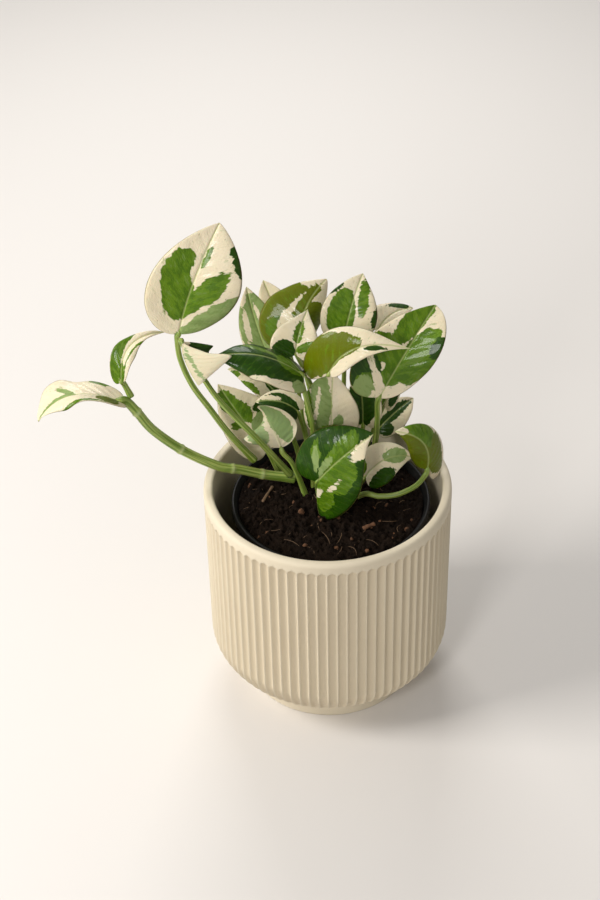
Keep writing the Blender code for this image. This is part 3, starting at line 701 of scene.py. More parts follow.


# The darkest-green marks are partly each leaf's own deep green and partly painted shade: on leaves that lie
# in shade they cover the whole blade. The olive marks are painted light, the glow of backlit leaves.
LEAVES = {
    "tall_left": leaf_row(
        base=(-71, 14, 204), bend=(-66, 17, 228), tip=(-50, 34, 254), face=(0.05, -0.85, 0.5),
        half=(21, 23), fold=(5, 8), curl=(12, -15), full=((0.6, 0.9), (0.85, 0.75)), lobe=(0.1, 0.1),
        marks=[("green", -0.3, 0.42, 0.36, 0.78, -24), ("green", -0.42, 0.64, 0.3, 0.28, -20),
               ("green", 0.3, 0.42, 0.24, 0.84, 26), ("pale", 0.66, 0.26, 0.27, 1.2, 40),
               ("cream", 0.42, 0.34, 0.04, 1.0, 38), ("dark_and_shade", 0.76, 0.80, 0.17, 0.44, -50),
               ("green", 0.07, 0.74, 0.04, 0.14, 5)],
    ),
    "left_arching": leaf_row(
        base=(-100, 8, 180), bend=(-101, 16, 203), tip=(-79, 30, 194), face=(-0.5, -0.55, 0.65),
        half=(6.5, 5.5), fold=(20, 15), curl=(10, -20), wave=1.2, full=((0.45, 1.1), (0.6, 1.3)),
        lobe=(0.16, 0.12),
        marks=[("green", -0.55, 0.3, 0.42, 1.0, -8), ("green", 0.1, 0.1, 0.3, 0.35, 0),
               ("green", 0.55, 0.4, 0.1, 0.9, 6)],
    ),
    "left_end": leaf_row(
        base=(-101, 3, 172), bend=(-127, -2, 189), tip=(-140, -8, 168), face=(-0.1, 0.25, 0.95),
        half=(9, 14), fold=(0, 8), curl=(-15, 25), wave=2.0, full=((0.5, 0.9), (0.45, 0.4)),
        marks=[("pale", 0.05, 0.74, 0.1, 0.5, 0), ("pale", 0.4, 0.57, 0.07, 0.6, 52),
               ("backlit_olive", -0.4, 0.12, 0.4, 0.3, 0), ("green", 0.8, 0.16, 0.12, 0.2, 20),
               ("green", -0.85, 0.4, 0.1, 0.8, 0)],
    ),
    "left_hanging": leaf_row(
        base=(-68, 2, 208), bend=(-69, -1, 200), tip=(-61, -6, 188), face=(0.9, -0.1, 0.3), half=(15, 25),
        fold=(52, 65), curl=(-10, 25), wave=2.2, full=((0.5, 0.5), (1.5, 0.9)), lobe=(0, 0),
        marks=[("dark_and_shade", -0.6, 0.45, 0.6, 1.3, 0), ("pale", 0.14, 0.5, 0.05, 0.9, 5)],
    ),
    "middle_left": leaf_row(
        base=(-12, 3, 188), bend=(-31, -2, 209), tip=(-54, -4, 203), face=(0.25, 0.0, 0.97), half=(14, 13),
        fold=(-5, 0), curl=(-50, -15), wave=0.8,
        marks=[("dark_and_shade", 0.15, 0.5, 1.0, 1.5, 0), ("cream", -0.9, 0.5, 0.14, 0.9, 0),
               ("pale", -0.6, -0.02, 0.3, 0.25, 0), ("green", 0.1, 0.14, 0.4, 0.4, 0),
               ("green", 0.5, 0.55, 0.12, 0.7, 20)],
    ),
    "back_left": leaf_row(
        base=(-30, 55, 160), bend=(-38, 65, 177), tip=(-41, 70, 194), face=(-0.1, -0.85, 0.5),
        half=(10, 12),
        marks=[("pale", 0.0, 0.4, 0.95, 1.25, 0), ("cream", -0.35, 0.85, 0.2, 0.4, 20),
               ("cream", -0.5, 0.45, 0.16, 0.7, 10), ("cream", 0.25, 0.5, 0.08, 0.6, -10)],
    ),
    "back_tip": leaf_row(
        base=(-22, 66, 172), bend=(-29, 76, 182), tip=(-33, 82, 190), face=(-0.2, -0.7, 0.7), half=(9, 9),
        fold=(15, 15),
        marks=[("green", -0.5, 0.3, 0.35, 0.5, 0), ("green", 0.5, 0.2, 0.3, 0.4, 0)],
    ),
    "upper_left": leaf_row(
        base=(-14, 34, 184), bend=(-14, 38, 203), tip=(0, 54, 209), face=(-0.2, -0.75, 0.6), half=(21, 11),
        fold=(5, -10), curl=(0, -60), wave=0.8, full=((0.45, 1.1), (0.5, 0.6)),
        marks=[("backlit_olive", -0.72, 0.32, 0.5, 1.2, 20), ("green", -0.5, 0.15, 0.35, 0.4, 20),
               ("cream", -0.24, 0.46, 0.15, 1.05, 14), ("backlit_olive", -0.07, 0.58, 0.11, 0.8, 8),
               ("backlit_olive", 0.6, 0.45, 0.55, 0.6, -30), ("cream", 0.95, 0.1, 0.2, 0.3, 0)],
    ),
    "centre_cream": leaf_row(
        base=(-15, 16, 190), bend=(-14, 17, 203), tip=(-9, 32, 206), face=(0.0, -0.75, 0.65), half=(13, 11),
        full=((0.45, 1.4), (0.45, 1.2)),
        marks=[("green", 0.0, 0.52, 0.17, 0.6, 0), ("green", 0.45, 0.2, 0.19, 0.55, 50),
               ("dark_and_shade", -0.48, 0.08, 0.42, 0.5, 0)],
    ),
    "centre_olive": leaf_row(
        base=(1, 2, 188), bend=(9, 0, 214), tip=(41, 2, 203), face=(-0.15, -0.85, 0.5), half=(15, 7),
        fold=(5, 5), curl=(-25, 10), full=((0.45, 1.6), (0.6, 1.2)), lobe=(0.5, 0.1),
        marks=[("backlit_olive", -0.45, 0.16, 0.5, 1.0, 25), ("dark_and_shade", 0.2, 0.68, 0.2, 0.3, 10)],
    ),
    "upper_centre": leaf_row(
        base=(9, 30, 192), bend=(12, 33, 209), tip=(18, 48, 216), face=(-0.1, -0.8, 0.55), half=(14, 14),
        curl=(0, -15),
        marks=[("green", -0.28, 0.3, 0.52, 0.95, -5), ("green", 0.33, 0.62, 0.2, 0.7, -8),
               ("dark_and_shade", -0.78, 0.62, 0.14, 0.4, 38), ("dark_and_shade", 0.95, 0.35, 0.12, 0.35, 0)],
    ),
    "upper_back": leaf_row(
        base=(26, 54, 178), bend=(31, 62, 185), tip=(44, 66, 183), face=(0.1, -0.3, 0.95), half=(9, 9),
        fold=(5, 5), curl=(0, -20),
        marks=[("dark_and_shade", -0.35, 0.72, 0.18, 0.55, 30), ("green", 0.6, 0.25, 0.3, 0.45, 10)],
    ),
    "right_large": leaf_row(
        base=(26, 13, 166), bend=(37, 17, 188), tip=(53, 32, 208), face=(0.1, -0.75, 0.65), half=(22, 15),
        fold=(12, 5), curl=(10, 10), wave=1.2, full=((0.45, 0.9), (0.75, 0.5)), lobe=(0.2, 0.1),
        marks=[("green", 0.45, 0.54, 0.56, 0.72, 0), ("green", -0.22, 0.78, 0.27, 0.75, 12),
               ("green", -0.5, 0.46, 0.5, 0.36, 0), ("green", 0.0, 0.32, 0.3, 0.5, 0),
               ("dark_and_shade", 0.86, 0.7, 0.2, 0.28, 0), ("dark_and_shade", -0.62, 0.2, 0.4, 0.5, -20),
               ("pale", -0.45, 0.05, 0.26, 0.34, -20), ("cream", -0.36, 0.22, 0.06, 0.62, -48)],
    ),
    "centre_upright": leaf_row(
        base=(2, 11, 144), bend=(2, 5, 163), tip=(3, 11, 182), face=(0.0, -0.95, 0.3), half=(14, 14),
        fold=(8, 8), curl=(0, -10), wave=0.8, full=((0.5, 0.45), (0.45, 0.8)),
        marks=[("pale", -0.4, 0.5, 0.4, 1.25, 0), ("cream", -0.5, 0.62, 0.08, 0.7, 6),
               ("green", -0.8, 0.5, 0.13, 0.9, -5), ("pale", 0.25, 0.3, 0.2, 0.3, 20),
               ("green", 0.05, 0.1, 0.6, 0.32, 0)],
    ),
    "lower_left": leaf_row(
        base=(-31, 22, 126), bend=(-44, 23, 145), tip=(-55, 30, 162), face=(0.2, -0.85, 0.5), half=(13, 17),
        wave=1.0, lobe=(0.15, 0.15),
        marks=[("green", -0.1, 0.76, 0.32, 0.42, 5), ("green", -0.3, 0.47, 0.32, 0.16, 0),
               ("green", 0.15, 0.55, 0.25, 0.4, -10), ("pale", 0.5, 0.2, 0.5, 0.6, 0),
               ("dark_and_shade", 0.7, 0.5, 0.28, 0.16, 0)],
    ),
    "front_left": leaf_row(
        base=(-23, 5, 141), bend=(-27, 6, 157), tip=(-33, 15, 157), face=(-0.1, 0.95, 0.3), half=(14, 16),
        fold=(-5, -5), curl=(-10, -10), wave=1.2, full=((0.7, 0.7), (0.7, 0.5)), lobe=(0, 0),
        marks=[("green", -0.35, 0.5, 0.42, 1.0, 0), ("pale", 0.5, 0.5, 0.34, 0.9, 0),
               ("cream", 0.1, 0.35, 0.1, 0.8, 12)],
    ),
    "front": leaf_row(
        base=(-5, -12, 133), bend=(6, -15, 151), tip=(23, -6, 158), face=(-0.1, -0.85, 0.5), half=(19, 21),
        fold=(5, 5), curl=(-20, -10), wave=0.5, full=((0.45, 0.8), (0.42, 1.45)), lobe=(0.4, 0.9),
        marks=[("dark_and_shade", 0.0, 0.3, 1.6, 2.4, 0), ("green", -0.18, 0.62, 0.24, 0.6, -12),
               ("green", 0.28, 0.3, 0.36, 0.72, 0), ("green", 0.3, -0.08, 0.32, 0.6, -20),
               ("pale", -0.14, 0.25, 0.11, 0.6, -8), ("pale", -0.4, 0.2, 0.12, 0.6, -38),
               ("pale", 0.15, -0.16, 0.08, 0.4, 0), ("cream", 0.16, 0.8, 0.17, 0.6, -4),
               ("cream", 0.38, 0.15, 0.06, 0.35, 0), ("cream", 0.2, -0.14, 0.1, 0.2, 0)],
    ),
    "small_left": leaf_row(
        base=(-26, 29, 157), bend=(-36, 31, 172), tip=(-50, 33, 169), face=(0.0, -0.5, 0.85), half=(9, 8),
        marks=[("green", -0.8, 0.5, 0.22, 0.7, 0), ("dark_and_shade", 0.6, 0.6, 0.4, 0.9, 0),
               ("dark_and_shade", 0.15, 0.12, 0.35, 0.4, 0), ("green", -0.3, 0.85, 0.2, 0.3, 0)],
    ),
    "small_dark": leaf_row(
        base=(-15, 17, 155), bend=(-23, 17, 164), tip=(-36, 19, 159), face=(0.0, -0.6, 0.8), half=(7, 7),
        marks=[("dark_and_shade", -0.3, 0.4, 0.9, 1.3, 0), ("cream", 0.2, 0.75, 0.18, 0.6, 0)],
    ),
    "right_low": leaf_row(
        base=(19, 6, 121), bend=(29, 4, 140), tip=(43, 8, 132), face=(0.0, -0.7, 0.7), half=(10, 11),
        wave=1.0,
        marks=[("pale", -0.05, 0.66, 0.38, 0.6, 0), ("dark_and_shade", 0.7, 0.2, 0.45, 0.9, 0),
               ("green", -0.5, 0.05, 0.4, 0.3, 0)],
    ),
    "right_drooping": leaf_row(
        base=(50, 0, 131), bend=(53, -2, 154), tip=(33, -4, 158), face=(0.2, -0.8, 0.5), half=(9, 11),
        fold=(-10, -10), curl=(-10, -30), wave=0.8, lobe=(0.1, 0.9),
        marks=[("backlit_olive", -0.3, 0.45, 0.85, 1.35, 0), ("green", 0.4, 0.6, 0.42, 0.8, 0),
               ("cream", 0.05, 0.92, 0.2, 0.25, 0), ("backlit_olive", 0.6, 0.1, 0.5, 0.8, 0),
               ("cream", 0.95, 0.1, 0.12, 0.8, 0)],
    ),
    "back_right": leaf_row(
        base=(29, 40, 141), bend=(32, 43, 149), tip=(40, 52, 156), face=(0.2, -0.8, 0.5), half=(6, 6),
        fold=(15, 15), wave=0.4,
        marks=[("dark_and_shade", 0.5, 0.25, 0.32, 0.6, 0), ("green", -0.2, 0.2, 0.2, 0.5, 0),
               ("green", -0.9, 0.6, 0.2, 0.6, 0)],
    ),
    "low_back_right": leaf_row(
        base=(27, 45, 122), bend=(36, 48, 132), tip=(45, 60, 130), face=(0.0, -0.6, 0.8), half=(9, 9),
        wave=0.8,
        marks=[("dark_and_shade", 0.0, 0.4, 0.35, 1.2, 0), ("dark_and_shade", 0.3, 0.08, 0.5, 0.4, 0)],
    ),
    "centre_dark": leaf_row(
        base=(18, 26, 140), bend=(18, 27, 156), tip=(16, 36, 164), face=(0.0, -0.9, 0.4), half=(10, 10),
        marks=[("dark_and_shade", 0.0, 0.42, 0.68, 1.2, 0)],
    ),
}
print(len(LEAVES), "leaves")


# %% The stem surface
STEM_STEPS = 14  # between two of a route's points
STEM_SIDES = 20
VINE_JOINTS = (17.0, 33.0, 62.0, 93.0)  # millimetres along the vine, where its rings are
STREAK_RADIUS = 2.2  # how far the streaks' pattern lies from a stem's middle
STREAK_SHIFT = 17.0  # between one stem's pattern and the next
JOINT_WIDTH, JOINT_HEIGHT = 0.9, 0.4
FOOT_SWELL_WIDTH, FOOT_SWELL, NECK_SWELL_WIDTH, NECK_SWELL = 5.0, 0.35, 2.5, 0.14
NECK_BACK, TAPER = 4.0, 3.0  # where the neck's swelling is, and how long the end's taper, before the end
BURIED = 2.0  # how deep a stem starts under the soil


def smooth_path(points):
    """A Catmull-Rom curve through the points: each stretch leans on the points before and after it."""
    knots = np.array([points[0], *points, points[-1]], float)
    a, b, c, d = (knots[i:len(knots) - 3 + i, None, :] for i in range(4))
    t = (np.arange(STEM_STEPS) / STEM_STEPS)[None, :, None]
    path = 0.5 * (2 * b + (c - a) * t + (2 * a - 5 * b + 4 * c - d) * t**2 + (3 * b - a - 3 * c + d) * t**3)
    return np.vstack([path.reshape(-1, 3), knots[-1:]])


def stem_surface(path, radius, seed):
    """A slightly ribbed circle of the given radius round each point of the path, closed at both ends."""
    forward = unit(np.gradient(path, axis=0))
    spread = np.abs(forward).mean(axis=0)
    side = unit(np.cross(forward, np.eye(3)[int(np.argmin(spread))]))
    up = np.cross(side, forward)
    turn = around(STEM_SIDES)
    ribs = 1 + 0.035 * np.cos(5 * turn + seed) + 0.02 * np.cos(3 * turn + 2 * seed)
    ring = radius[:, None, None] * ribs[None, :, None]
    turn = turn[None, :, None]
    points = path[:, None, :] + ring * (np.cos(turn) * side[:, None] + np.sin(turn) * up[:, None])
    ends = [np.repeat(path[i][None, None, :], STEM_SIDES, axis=1) for i in (0, -1)]
    return np.concatenate([ends[0], points, ends[1]])


def bump_at(run, where, width, height):
    """A smooth swelling: the bell curve of the distance along the stem."""
    return height * np.exp(-((run - where) / width) ** 2)


def stem_route(name, points):
    """The route as drawn: from just under the soil, or from inside the vine, up to the leaf's own base."""
    first = points[0]
    if len(first) == 2:
        first = (*first, float(soil_height(first[0] - LINER_SHIFT, first[1])) - BURIED)
    route = [first, *points[1:]]
    row = LEAVES["left_end" if name == "vine" else name]
    base, bend, face = (np.array(row[key], float) for key in ("base", "bend", "face"))
    route.append(tuple(base - 0.2 * unit(face)))
    route.append(tuple(base + 0.10 * (bend - base) - 0.55 * unit(face)))
    return route


# %% [markdown]
# ## Stem finish
#
# The skin is yellow-green with paler streaks that run along the stem, and a soft shine. The streaks read an
# attribute that holds the distance along and the turn round the stem, so they follow every bend.

# %% Stem finish
stem_finish, tree, shader = finish("green_stem", 0.42, subsurface_weight=0.12, subsurface_scale=0.002)
run_round = attribute(tree, "run_round", "Vector")
ALONG = (0.03, 1.0, 1.0)  # draws the streaks out along the stem
stretched = add(tree, "ShaderNodeVectorMath", {0: run_round, 1: ALONG}, operation="MULTIPLY").outputs[0]
streak = noise(tree, stretched, 1.3, 4.0)
slow = clouds(tree, 40.0)[0]
base = blend(tree, step(tree, streak, 0.42, 0.60), colour(0.12, 0.170, 0.006), colour(0.44, 0.50, 0.13))
base = blend(tree, times(tree, slow, 0.6), base, colour(0.16, 0.30, 0.05))
base = blend(tree, times(tree, attribute(tree, "joint"), 0.7), base, colour(0.50, 0.55, 0.24))
feed(tree, shader, base_color=base, normal=bump(tree, streak, 0.0003, 0.5))

for number, (name, (foot, end, points)) in enumerate(STEMS.items()):
    path = smooth_path(stem_route(name, points))
    run = np.concatenate([[0], np.cumsum(np.linalg.norm(np.diff(path, axis=0), axis=1))])
    radius = 0.5 * np.interp(run, [0, run[-1]], [foot, end])
    joint = np.zeros(len(run))
    if name == "vine":
        for where in VINE_JOINTS:
            joint = joint + bump_at(run, where, JOINT_WIDTH, 1.0)
        radius = radius + JOINT_HEIGHT * joint
    radius = radius + bump_at(run, 0, FOOT_SWELL_WIDTH, FOOT_SWELL)
    radius = radius + bump_at(run, run[-1] - NECK_BACK, NECK_SWELL_WIDTH, NECK_SWELL)
    radius = radius * np.sqrt(np.clip((run[-1] - run) / TAPER, 0.02, 1))
    turn = around(STEM_SIDES)
    run = np.concatenate([[0], run, run[-1:]])
    joint = np.concatenate([[0], joint, [0]])
    ring = np.broadcast_arrays(run[:, None], STREAK_RADIUS * np.cos(turn), STREAK_RADIUS * np.sin(turn))
    values = {"run_round": np.stack(ring, -1) + STREAK_SHIFT * number, "joint": joint[:, None] + 0 * turn}
    piece, node = ("main_vine", "vine") if name == "vine" else ("stalk_" + name, "petiole_" + name)
    mesh = closed_mesh(node, stem_surface(path, radius, number), values=values)
    place(piece, mesh, [stem_finish], [node])


# %% [markdown]
# ## Leaves
#
# A pothos blade is heart shaped, waxy, and quilted between its side veins, with a sunk midrib above and a
# raised one below. The blade is a surface of two parameters: along the midrib and across it. Each row is
# a bent line that rises from the midrib and curls towards the margin. Upper and lower skin are one closed
# grid that meets at the margin, so the blade has a real thickness and each skin its own finish.

# %% The blade's middle surface
BLADE_ROWS = 60
BLADE_COLUMNS = 24  # on each side of the midrib
BLADE_HALF_THICK = 0.28
RIPPLE, MARGIN_ROLL = 0.45, 0.9  # height of the margin's small ripples, and how far it rolls down
VEIN_SPACING = 0.105
VEIN_LEAN = 0.25  # how far a side vein runs towards the tip on its way to the margin
QUILT_HEIGHT, GROOVE_DEPTH, RIB_HEIGHT, RIB_HALF = 0.36, 0.30, 0.45, 0.55


def outline(along, to_base, to_tip):
    """A half blade's width as a share of its widest: powers of the distances to the base and to the tip."""
    widest = to_base / (to_base + to_tip)
    return (along / widest) ** to_base * ((1 - along) / (1 - widest)) ** to_tip


def blade(leaf, u, v):
    """The middle surface, its width share and the place on the flat leaf, for grids u along and v across.

    Each row starts at the midrib, rises by the fold, turns by the curl on its way and ends at the outline.
    Waves lift the margin, and near the base the rows sweep back to make the lobes beside the stalk.
    """
    base, bend, tip = (np.array(leaf[key], float) for key in ("base", "bend", "tip"))
    across = np.abs(v)
    t = u[..., None]
    rib = (1 - t) ** 2 * base + 2 * t * (1 - t) * bend + t**2 * tip
    forward = unit(2 * (1 - t) * (bend - base) + 2 * t * (tip - bend))
    side = unit(np.cross(forward, np.array(leaf["face"], float)))
    up = np.cross(side, forward)
    half, fold, curl = (np.where(v < 0, *leaf[key]) for key in ("half", "fold", "curl"))
    lobe = np.where(v < 0, *leaf["lobe"])
    left, right = leaf["full"]
    shape = np.where(v < 0, outline(u, *left), outline(u, *right))
    start, turn = np.radians(fold), np.radians(curl) * across + 1e-4
    width = half * shape * across
    out = width * (np.sin(start + turn) - np.sin(start)) / turn
    rise = width * (np.cos(start) - np.cos(start + turn)) / turn
    rise = rise + leaf["wave"] * across**2 * np.sin(9 * u + 1.3 * np.sign(v)) * np.sin(math.pi * u)
    ripple = np.sin(23 * u + 2.0 * np.sign(v) + base[0]) * np.clip(half / 20, 0, 1)
    rise = rise + (RIPPLE * across**4 * ripple - MARGIN_ROLL * across**8) * np.sin(math.pi * u)
    back = lobe * across**2 * shape * (1 - u) ** 6
    length = np.linalg.norm(tip - base)
    points = rib + (np.sign(v) * out)[..., None] * side + rise[..., None] * up
    points = points - (back * length)[..., None] * forward
    return points, half * shape, v * shape, u - back


def vein_place(across, along):
    """Where a side vein through a point leaves the midrib: veins run outward and towards the tip."""
    return along - VEIN_LEAN * np.abs(across)


def skins(leaf):
    """The closed blade: the upper skin from left margin to right, and the lower skin back again.

    Side veins lift the middle surface in low waves. The skins stand off it by half the thickness, which
    falls to nothing at the margin, with a groove over the midrib and a rib under it.
    """
    s = np.linspace(-1, 1, 2 * BLADE_COLUMNS + 1)
    across = np.sign(s) * np.abs(s) ** 1.3
    along = 0.5 - 0.5 * np.cos(np.linspace(0, math.pi, BLADE_ROWS))
    u, v = np.meshgrid(along, across, indexing="ij")
    middle, width, place_across, place_along = blade(leaf, u, v)
    inner = slice(1, -1)
    normal = np.zeros_like(middle)
    by_u, by_v = np.gradient(middle, axis=0), np.gradient(middle, axis=1)
    normal[inner] = unit(np.cross(by_v, by_u)[inner] + 1e-12)
    normal[0], normal[-1] = normal[1], normal[-2]
    vein, own_phase = vein_place(place_across, place_along), leaf["base"][0]
    drift = 0.3 * np.sin(9 * vein + own_phase) + 0.25 * np.sin(17 * vein + 4 * place_across)
    quilt = np.abs(np.cos(math.pi * vein / VEIN_SPACING + drift)) ** 1.2 - 0.5
    quilt = quilt * (0.65 + 0.35 * np.sin(13 * vein + 3 * place_across + own_phase))
    quilt = QUILT_HEIGHT * quilt * np.clip(np.abs(v) * 4, 0, 1) * (1 - v**4) * np.clip(width / 8, 0, 1)
    off = np.abs(v) * width
    rib = np.exp(-((off / RIB_HALF) ** 2)) * np.clip(width / 2, 0, 1)
    thick = BLADE_HALF_THICK * np.sqrt(np.clip(1 - v**2, 0, 1)) * np.clip(width / 1.5, 0.0, 1)
    upper = middle + (quilt + thick - GROOVE_DEPTH * rib)[..., None] * normal
    lower = middle + (quilt - thick - RIB_HEIGHT * rib * (1 - u))[..., None] * normal
    margin = [0, -1]
    upper[:, margin] = lower[:, margin] = middle[:, margin]
    both = np.concatenate([upper, lower[:, -2:0:-1]], axis=1)

    def mirrored(grid):
        return np.concatenate([grid, grid[:, -2:0:-1]], axis=1)

    return both, mirrored(place_across), mirrored(place_along), mirrored(np.abs(v)), mirrored(off)


# %% [markdown]
# ## Variegation
#
# The white parts of the leaf hold no green pigment, and each leaf's patches differ. They are laid as
# leaning ovals on the flat leaf, one after another. Each colour keeps a smooth field, positive inside
# its patches, and the material cuts it at zero after adding noise that is stretched along the side veins.
# That gives the crisp, feathered edges that follow the veins.

# %% Colour fields
LENGTH_SCALE = 2.5  # half-widths in a blade's length
FIELD_KINDS = ("green", "dark_and_shade", "pale", "backlit_olive")


def colour_fields(marks, across, along):
    """One field for each kind of green. A mark raises its own field and lowers the ones that it covers."""
    fields = {kind: np.full(across.shape, -1.0) for kind in FIELD_KINDS}
    for kind, x, y, wide, long, lean in marks:
        turn = math.radians(lean)
        dx, dy = across - x, (along - y) * LENGTH_SCALE
        a = (dx * math.cos(turn) - dy * math.sin(turn)) / wide
        b = (dx * math.sin(turn) + dy * math.cos(turn)) / long
        inside = (1 - np.sqrt(a**2 + b**2)) * min(wide, long) * 2.5
        for other in FIELD_KINDS:
            shown = other == kind or (other == "green" and kind != "cream")
            pick = np.maximum if shown else np.minimum
            fields[other] = pick(fields[other], inside if shown else -inside)
    return fields


# %% [markdown]
# ## Leaf finishes
#
# The upper skin is waxy: a thin clear coat over green or cream. Splashes of a deeper and a greyer green
# mottle the green, and streaks and tiny brown flecks lie on the cream. The midrib is a pale line, the
# side veins are faint and a thin olive line follows the margin. The under skin shows the same patches
# through the blade, paler and without the shine. The darkest green is partly the leaf's own colour and
# partly painted shade, and the yellow olive is painted light glowing through backlit leaves.

# %% Leaf colour group
CREAM = colour(0.80, 0.72, 0.55)
CREAM_WARM = colour(0.76, 0.66, 0.43)
MID_GREEN = colour(0.070, 0.150, 0.003)
FRESH_GREEN = colour(0.125, 0.235, 0.008)
# Partly the leaves' own deep green and partly painted shade, over whole leaves that lie in shade.
DARK_AND_SHADED_GREEN = colour(0.016, 0.055, 0.001)
PALE_GREEN = colour(0.26, 0.35, 0.12)
# Painted light: the yellow glow of light through a backlit leaf.
BACKLIT_OLIVE = colour(0.115, 0.145, 0.001)
DEEP_GREEN = colour(0.036, 0.100, 0.002)
GREY_GREEN = colour(0.150, 0.235, 0.055)
MARGIN = colour(0.22, 0.20, 0.06)
BLADE_SOCKETS = ("Green", "Dark_and_shade", "Pale", "Backlit_olive", "Margin", "Midrib")


def make_leaf_colour():
    """A node group that turns the colour fields into one leaf colour, a vein height and a green mask."""
    inputs = {**dict.fromkeys(BLADE_SOCKETS, "Float"), "Place": "Vector"}
    outputs = {"Colour": "Color", "Height": "Float", "Mask": "Float"}
    group, start, end = new_group("leaf_colour", inputs, outputs)
    where = start.outputs["Place"]
    split = add(group, "ShaderNodeSeparateXYZ", {0: where})
    wide, long = times(group, split.outputs[0], 2.2), times(group, split.outputs[1], 9.0)
    stretched = add(group, "ShaderNodeCombineXYZ", {"X": wide, "Y": long, "Z": split.outputs[2]}).outputs[0]
    feather = noise(group, stretched, 2.2, 4.0, 0.56)
    bend = times(group, math_node(group, "SUBTRACT", noise(group, where, 2.1, 1.0), 0.5), 0.5)
    jag = times(group, math_node(group, "SUBTRACT", feather, 0.5), 0.5)
    jag = math_node(group, "ADD", jag, bend)

    def cut(name, sharp=0.02):
        return step(group, math_node(group, "ADD", start.outputs[name], jag), -sharp, sharp)

    cloud = noise(group, where, 2.5, 3.0)
    fine = noise(group, stretched, 9.0, 3.0)
    splash = noise(group, stretched, 1.6, 5.0, 0.65)
    deep, light = step(group, splash, 0.50, 0.44), step(group, splash, 0.56, 0.60)
    cream = blend(group, cloud, CREAM, CREAM_WARM)
    green = blend(group, step(group, cloud, 0.3, 0.7), MID_GREEN, FRESH_GREEN)
    green = blend(group, times(group, step(group, fine, 0.4, 0.75), 0.35), green, colour(0.17, 0.26, 0.02))
    green = blend(group, times(group, deep, 0.5), green, DEEP_GREEN)
    green = blend(group, times(group, light, 0.45), green, GREY_GREEN)
    # Partly painted shade: the darkest green, which covers whole leaves that lie in shade.
    dark_and_shade = blend(group, times(group, light, 0.7), DARK_AND_SHADED_GREEN, DEEP_GREEN)
    pale = blend(group, times(group, deep, 0.45), PALE_GREEN, GREY_GREEN)
    # Painted light: the yellow-green glow through backlit leaves, mottled with fresh green.
    backlit_olive = blend(group, times(group, light, 0.5), BACKLIT_OLIVE, FRESH_GREEN)
    streak = step(group, noise(group, stretched, 2.4, 4.0, 0.7), 0.60, 0.64)
    near = step(group, math_node(group, "ADD", start.outputs["Green"], jag), -0.55, -0.15)
    cream = blend(group, times(group, times(group, streak, near), 0.6), cream, PALE_GREEN)
    leaf = blend(group, cut("Green"), cream, green)
    leaf = blend(group, cut("Backlit_olive"), leaf, backlit_olive)
    leaf = blend(group, cut("Pale"), leaf, pale)
    leaf = blend(group, cut("Dark_and_shade"), leaf, dark_and_shade)
    fleck = step(group, noise(group, where, 22.0, 1.0), 0.735, 0.76)
    fleck = times(group, fleck, math_node(group, "SUBTRACT", 1.0, cut("Green")))
    leaf = blend(group, times(group, fleck, 0.75), leaf, colour(0.20, 0.15, 0.05))
    vein = math_node(group, "PINGPONG", math_node(group, "DIVIDE", split.outputs[1], VEIN_SPACING), 0.5)
    side_vein = times(group, step(group, vein, 0.46, 0.5), 0.12)
    leaf = blend(group, side_vein, leaf, colour(0.30, 0.40, 0.08))
    midrib = step(group, start.outputs["Midrib"], 0.55, 0.25)
    leaf = blend(group, times(group, midrib, 0.55), leaf, colour(0.40, 0.46, 0.16))
    margin = step(group, start.outputs["Margin"], 0.972, 0.99)
    leaf = blend(group, times(group, margin, 0.7), leaf, MARGIN)
    group.links.new(leaf, end.inputs["Colour"])
    group.links.new(fine, end.inputs["Height"])
    group.links.new(cut("Green"), end.inputs["Mask"])
    return group


LEAF_COLOUR = make_leaf_colour()


def leaf_colour(tree):
    """The leaf colour group, fed by the blade's own attributes."""
    node = add(tree, "ShaderNodeGroup", node_tree=LEAF_COLOUR)
    for name in BLADE_SOCKETS:
        tree.links.new(attribute(tree, name.lower()), node.inputs[name])
    tree.links.new(attribute(tree, "flat_place", "Vector"), node.inputs["Place"])
    return node.outputs


# %% Upper and under skin
upper_skin, tree, shader = finish("leaf_upper", 0.34, specular_ior_level=0.12, coat_weight=0.22,
                                  coat_roughness=0.09, subsurface_weight=0.05, subsurface_scale=0.001)
found = leaf_colour(tree)
slow = clouds(tree, 160.0)[0]
height = math_node(tree, "ADD", times(tree, found["Height"], 0.7), slow)
feed(tree, shader, base_color=found["Colour"], roughness=step(tree, slow, -0.25, 1.9),
     normal=bump(tree, height, 0.0008, 0.5))

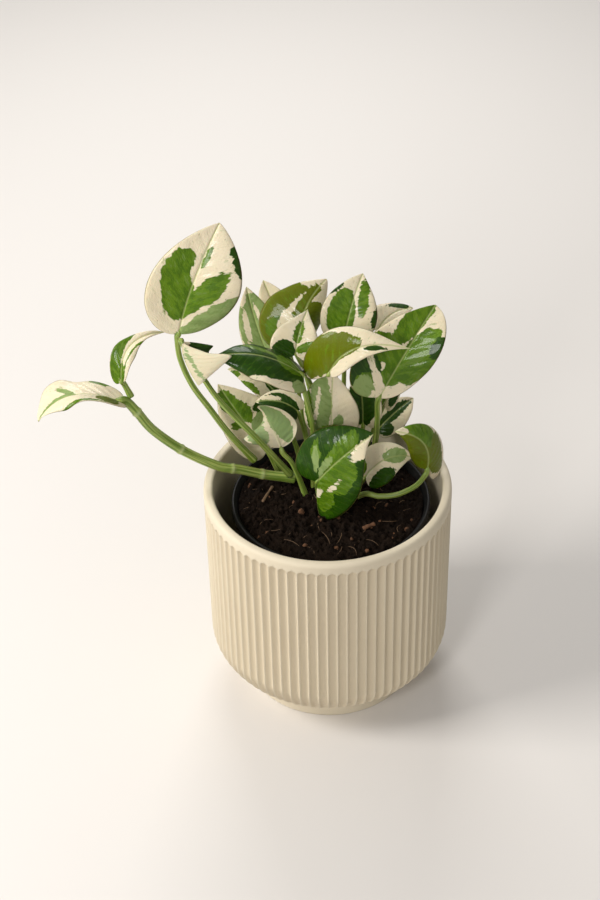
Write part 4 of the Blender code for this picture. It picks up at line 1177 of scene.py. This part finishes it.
under_skin, tree, shader = finish("leaf_under", 0.55, specular_ior_level=0.3,
                                  subsurface_weight=0.10, subsurface_scale=0.0015)
found = leaf_colour(tree)
grey = blend(tree, found["Mask"], colour(0.55, 0.50, 0.34), colour(0.26, 0.34, 0.16))
feed(tree, shader, base_color=blend(tree, 0.6, found["Colour"], grey),
     normal=bump(tree, found["Height"], 0.0005, 0.4))


# %% Build the leaves
for number, (name, leaf) in enumerate(LEAVES.items()):
    points, across, along, margin, off = skins(leaf)
    vein = vein_place(across, along)
    values = colour_fields(leaf["marks"], across, along)
    values["flat_place"] = np.stack([across + 0 * vein, vein, np.full(vein.shape, 3.0 * number)], -1)
    values["margin"], values["midrib"] = margin, off
    upper_columns = 2 * BLADE_COLUMNS
    mesh = closed_mesh("blade_" + name, points, [0] * upper_columns + [1] * upper_columns, values)
    place("blade_" + name, mesh, [upper_skin, under_skin], ["leaf_" + name])


# %% [markdown]
# ## Loose bits
#
# A dry twig and a chip of bark lie on the soil. The twig is a bent, knobbly tube, and the chip a flat,
# rough tube.

# %% Twig and chip
twig_box, chip_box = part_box("soil_twig"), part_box("bark_chip")
print("twig at", twig_box, "chip at", chip_box)


def loose_bit(name, node, thick, flat, paint):
    """A rough rod along its node's longest level line, flattened by a share and closed at both ends."""
    low, high = (np.array(corner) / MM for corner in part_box(node))
    t = np.linspace(0, 1, 30)
    inset = 0.5 * thick
    first, last = low + inset, high - inset
    path = first + t[:, None] * (last - first)
    path[:, 2] += 0.35 * np.sin(math.pi * t)
    knobs = 1 + 0.15 * np.sin(8 * t) + 0.1 * np.sin(15 * t + 1)
    radius = 0.5 * thick * knobs * np.clip(np.sqrt(t * (1 - t)) * 5, 0.05, 1)
    points = stem_surface(path, radius, 3)
    middle = points.mean(axis=1, keepdims=True)
    points[..., 2] = middle[..., 2] + (points[..., 2] - middle[..., 2]) * flat
    place(name, closed_mesh(name, points), [paint], [node])


loose_bit("dry_twig", "soil_twig", 1.4, 1.0, root_finish)
loose_bit("chip_of_bark", "bark_chip", 2.2, 0.7, bark)
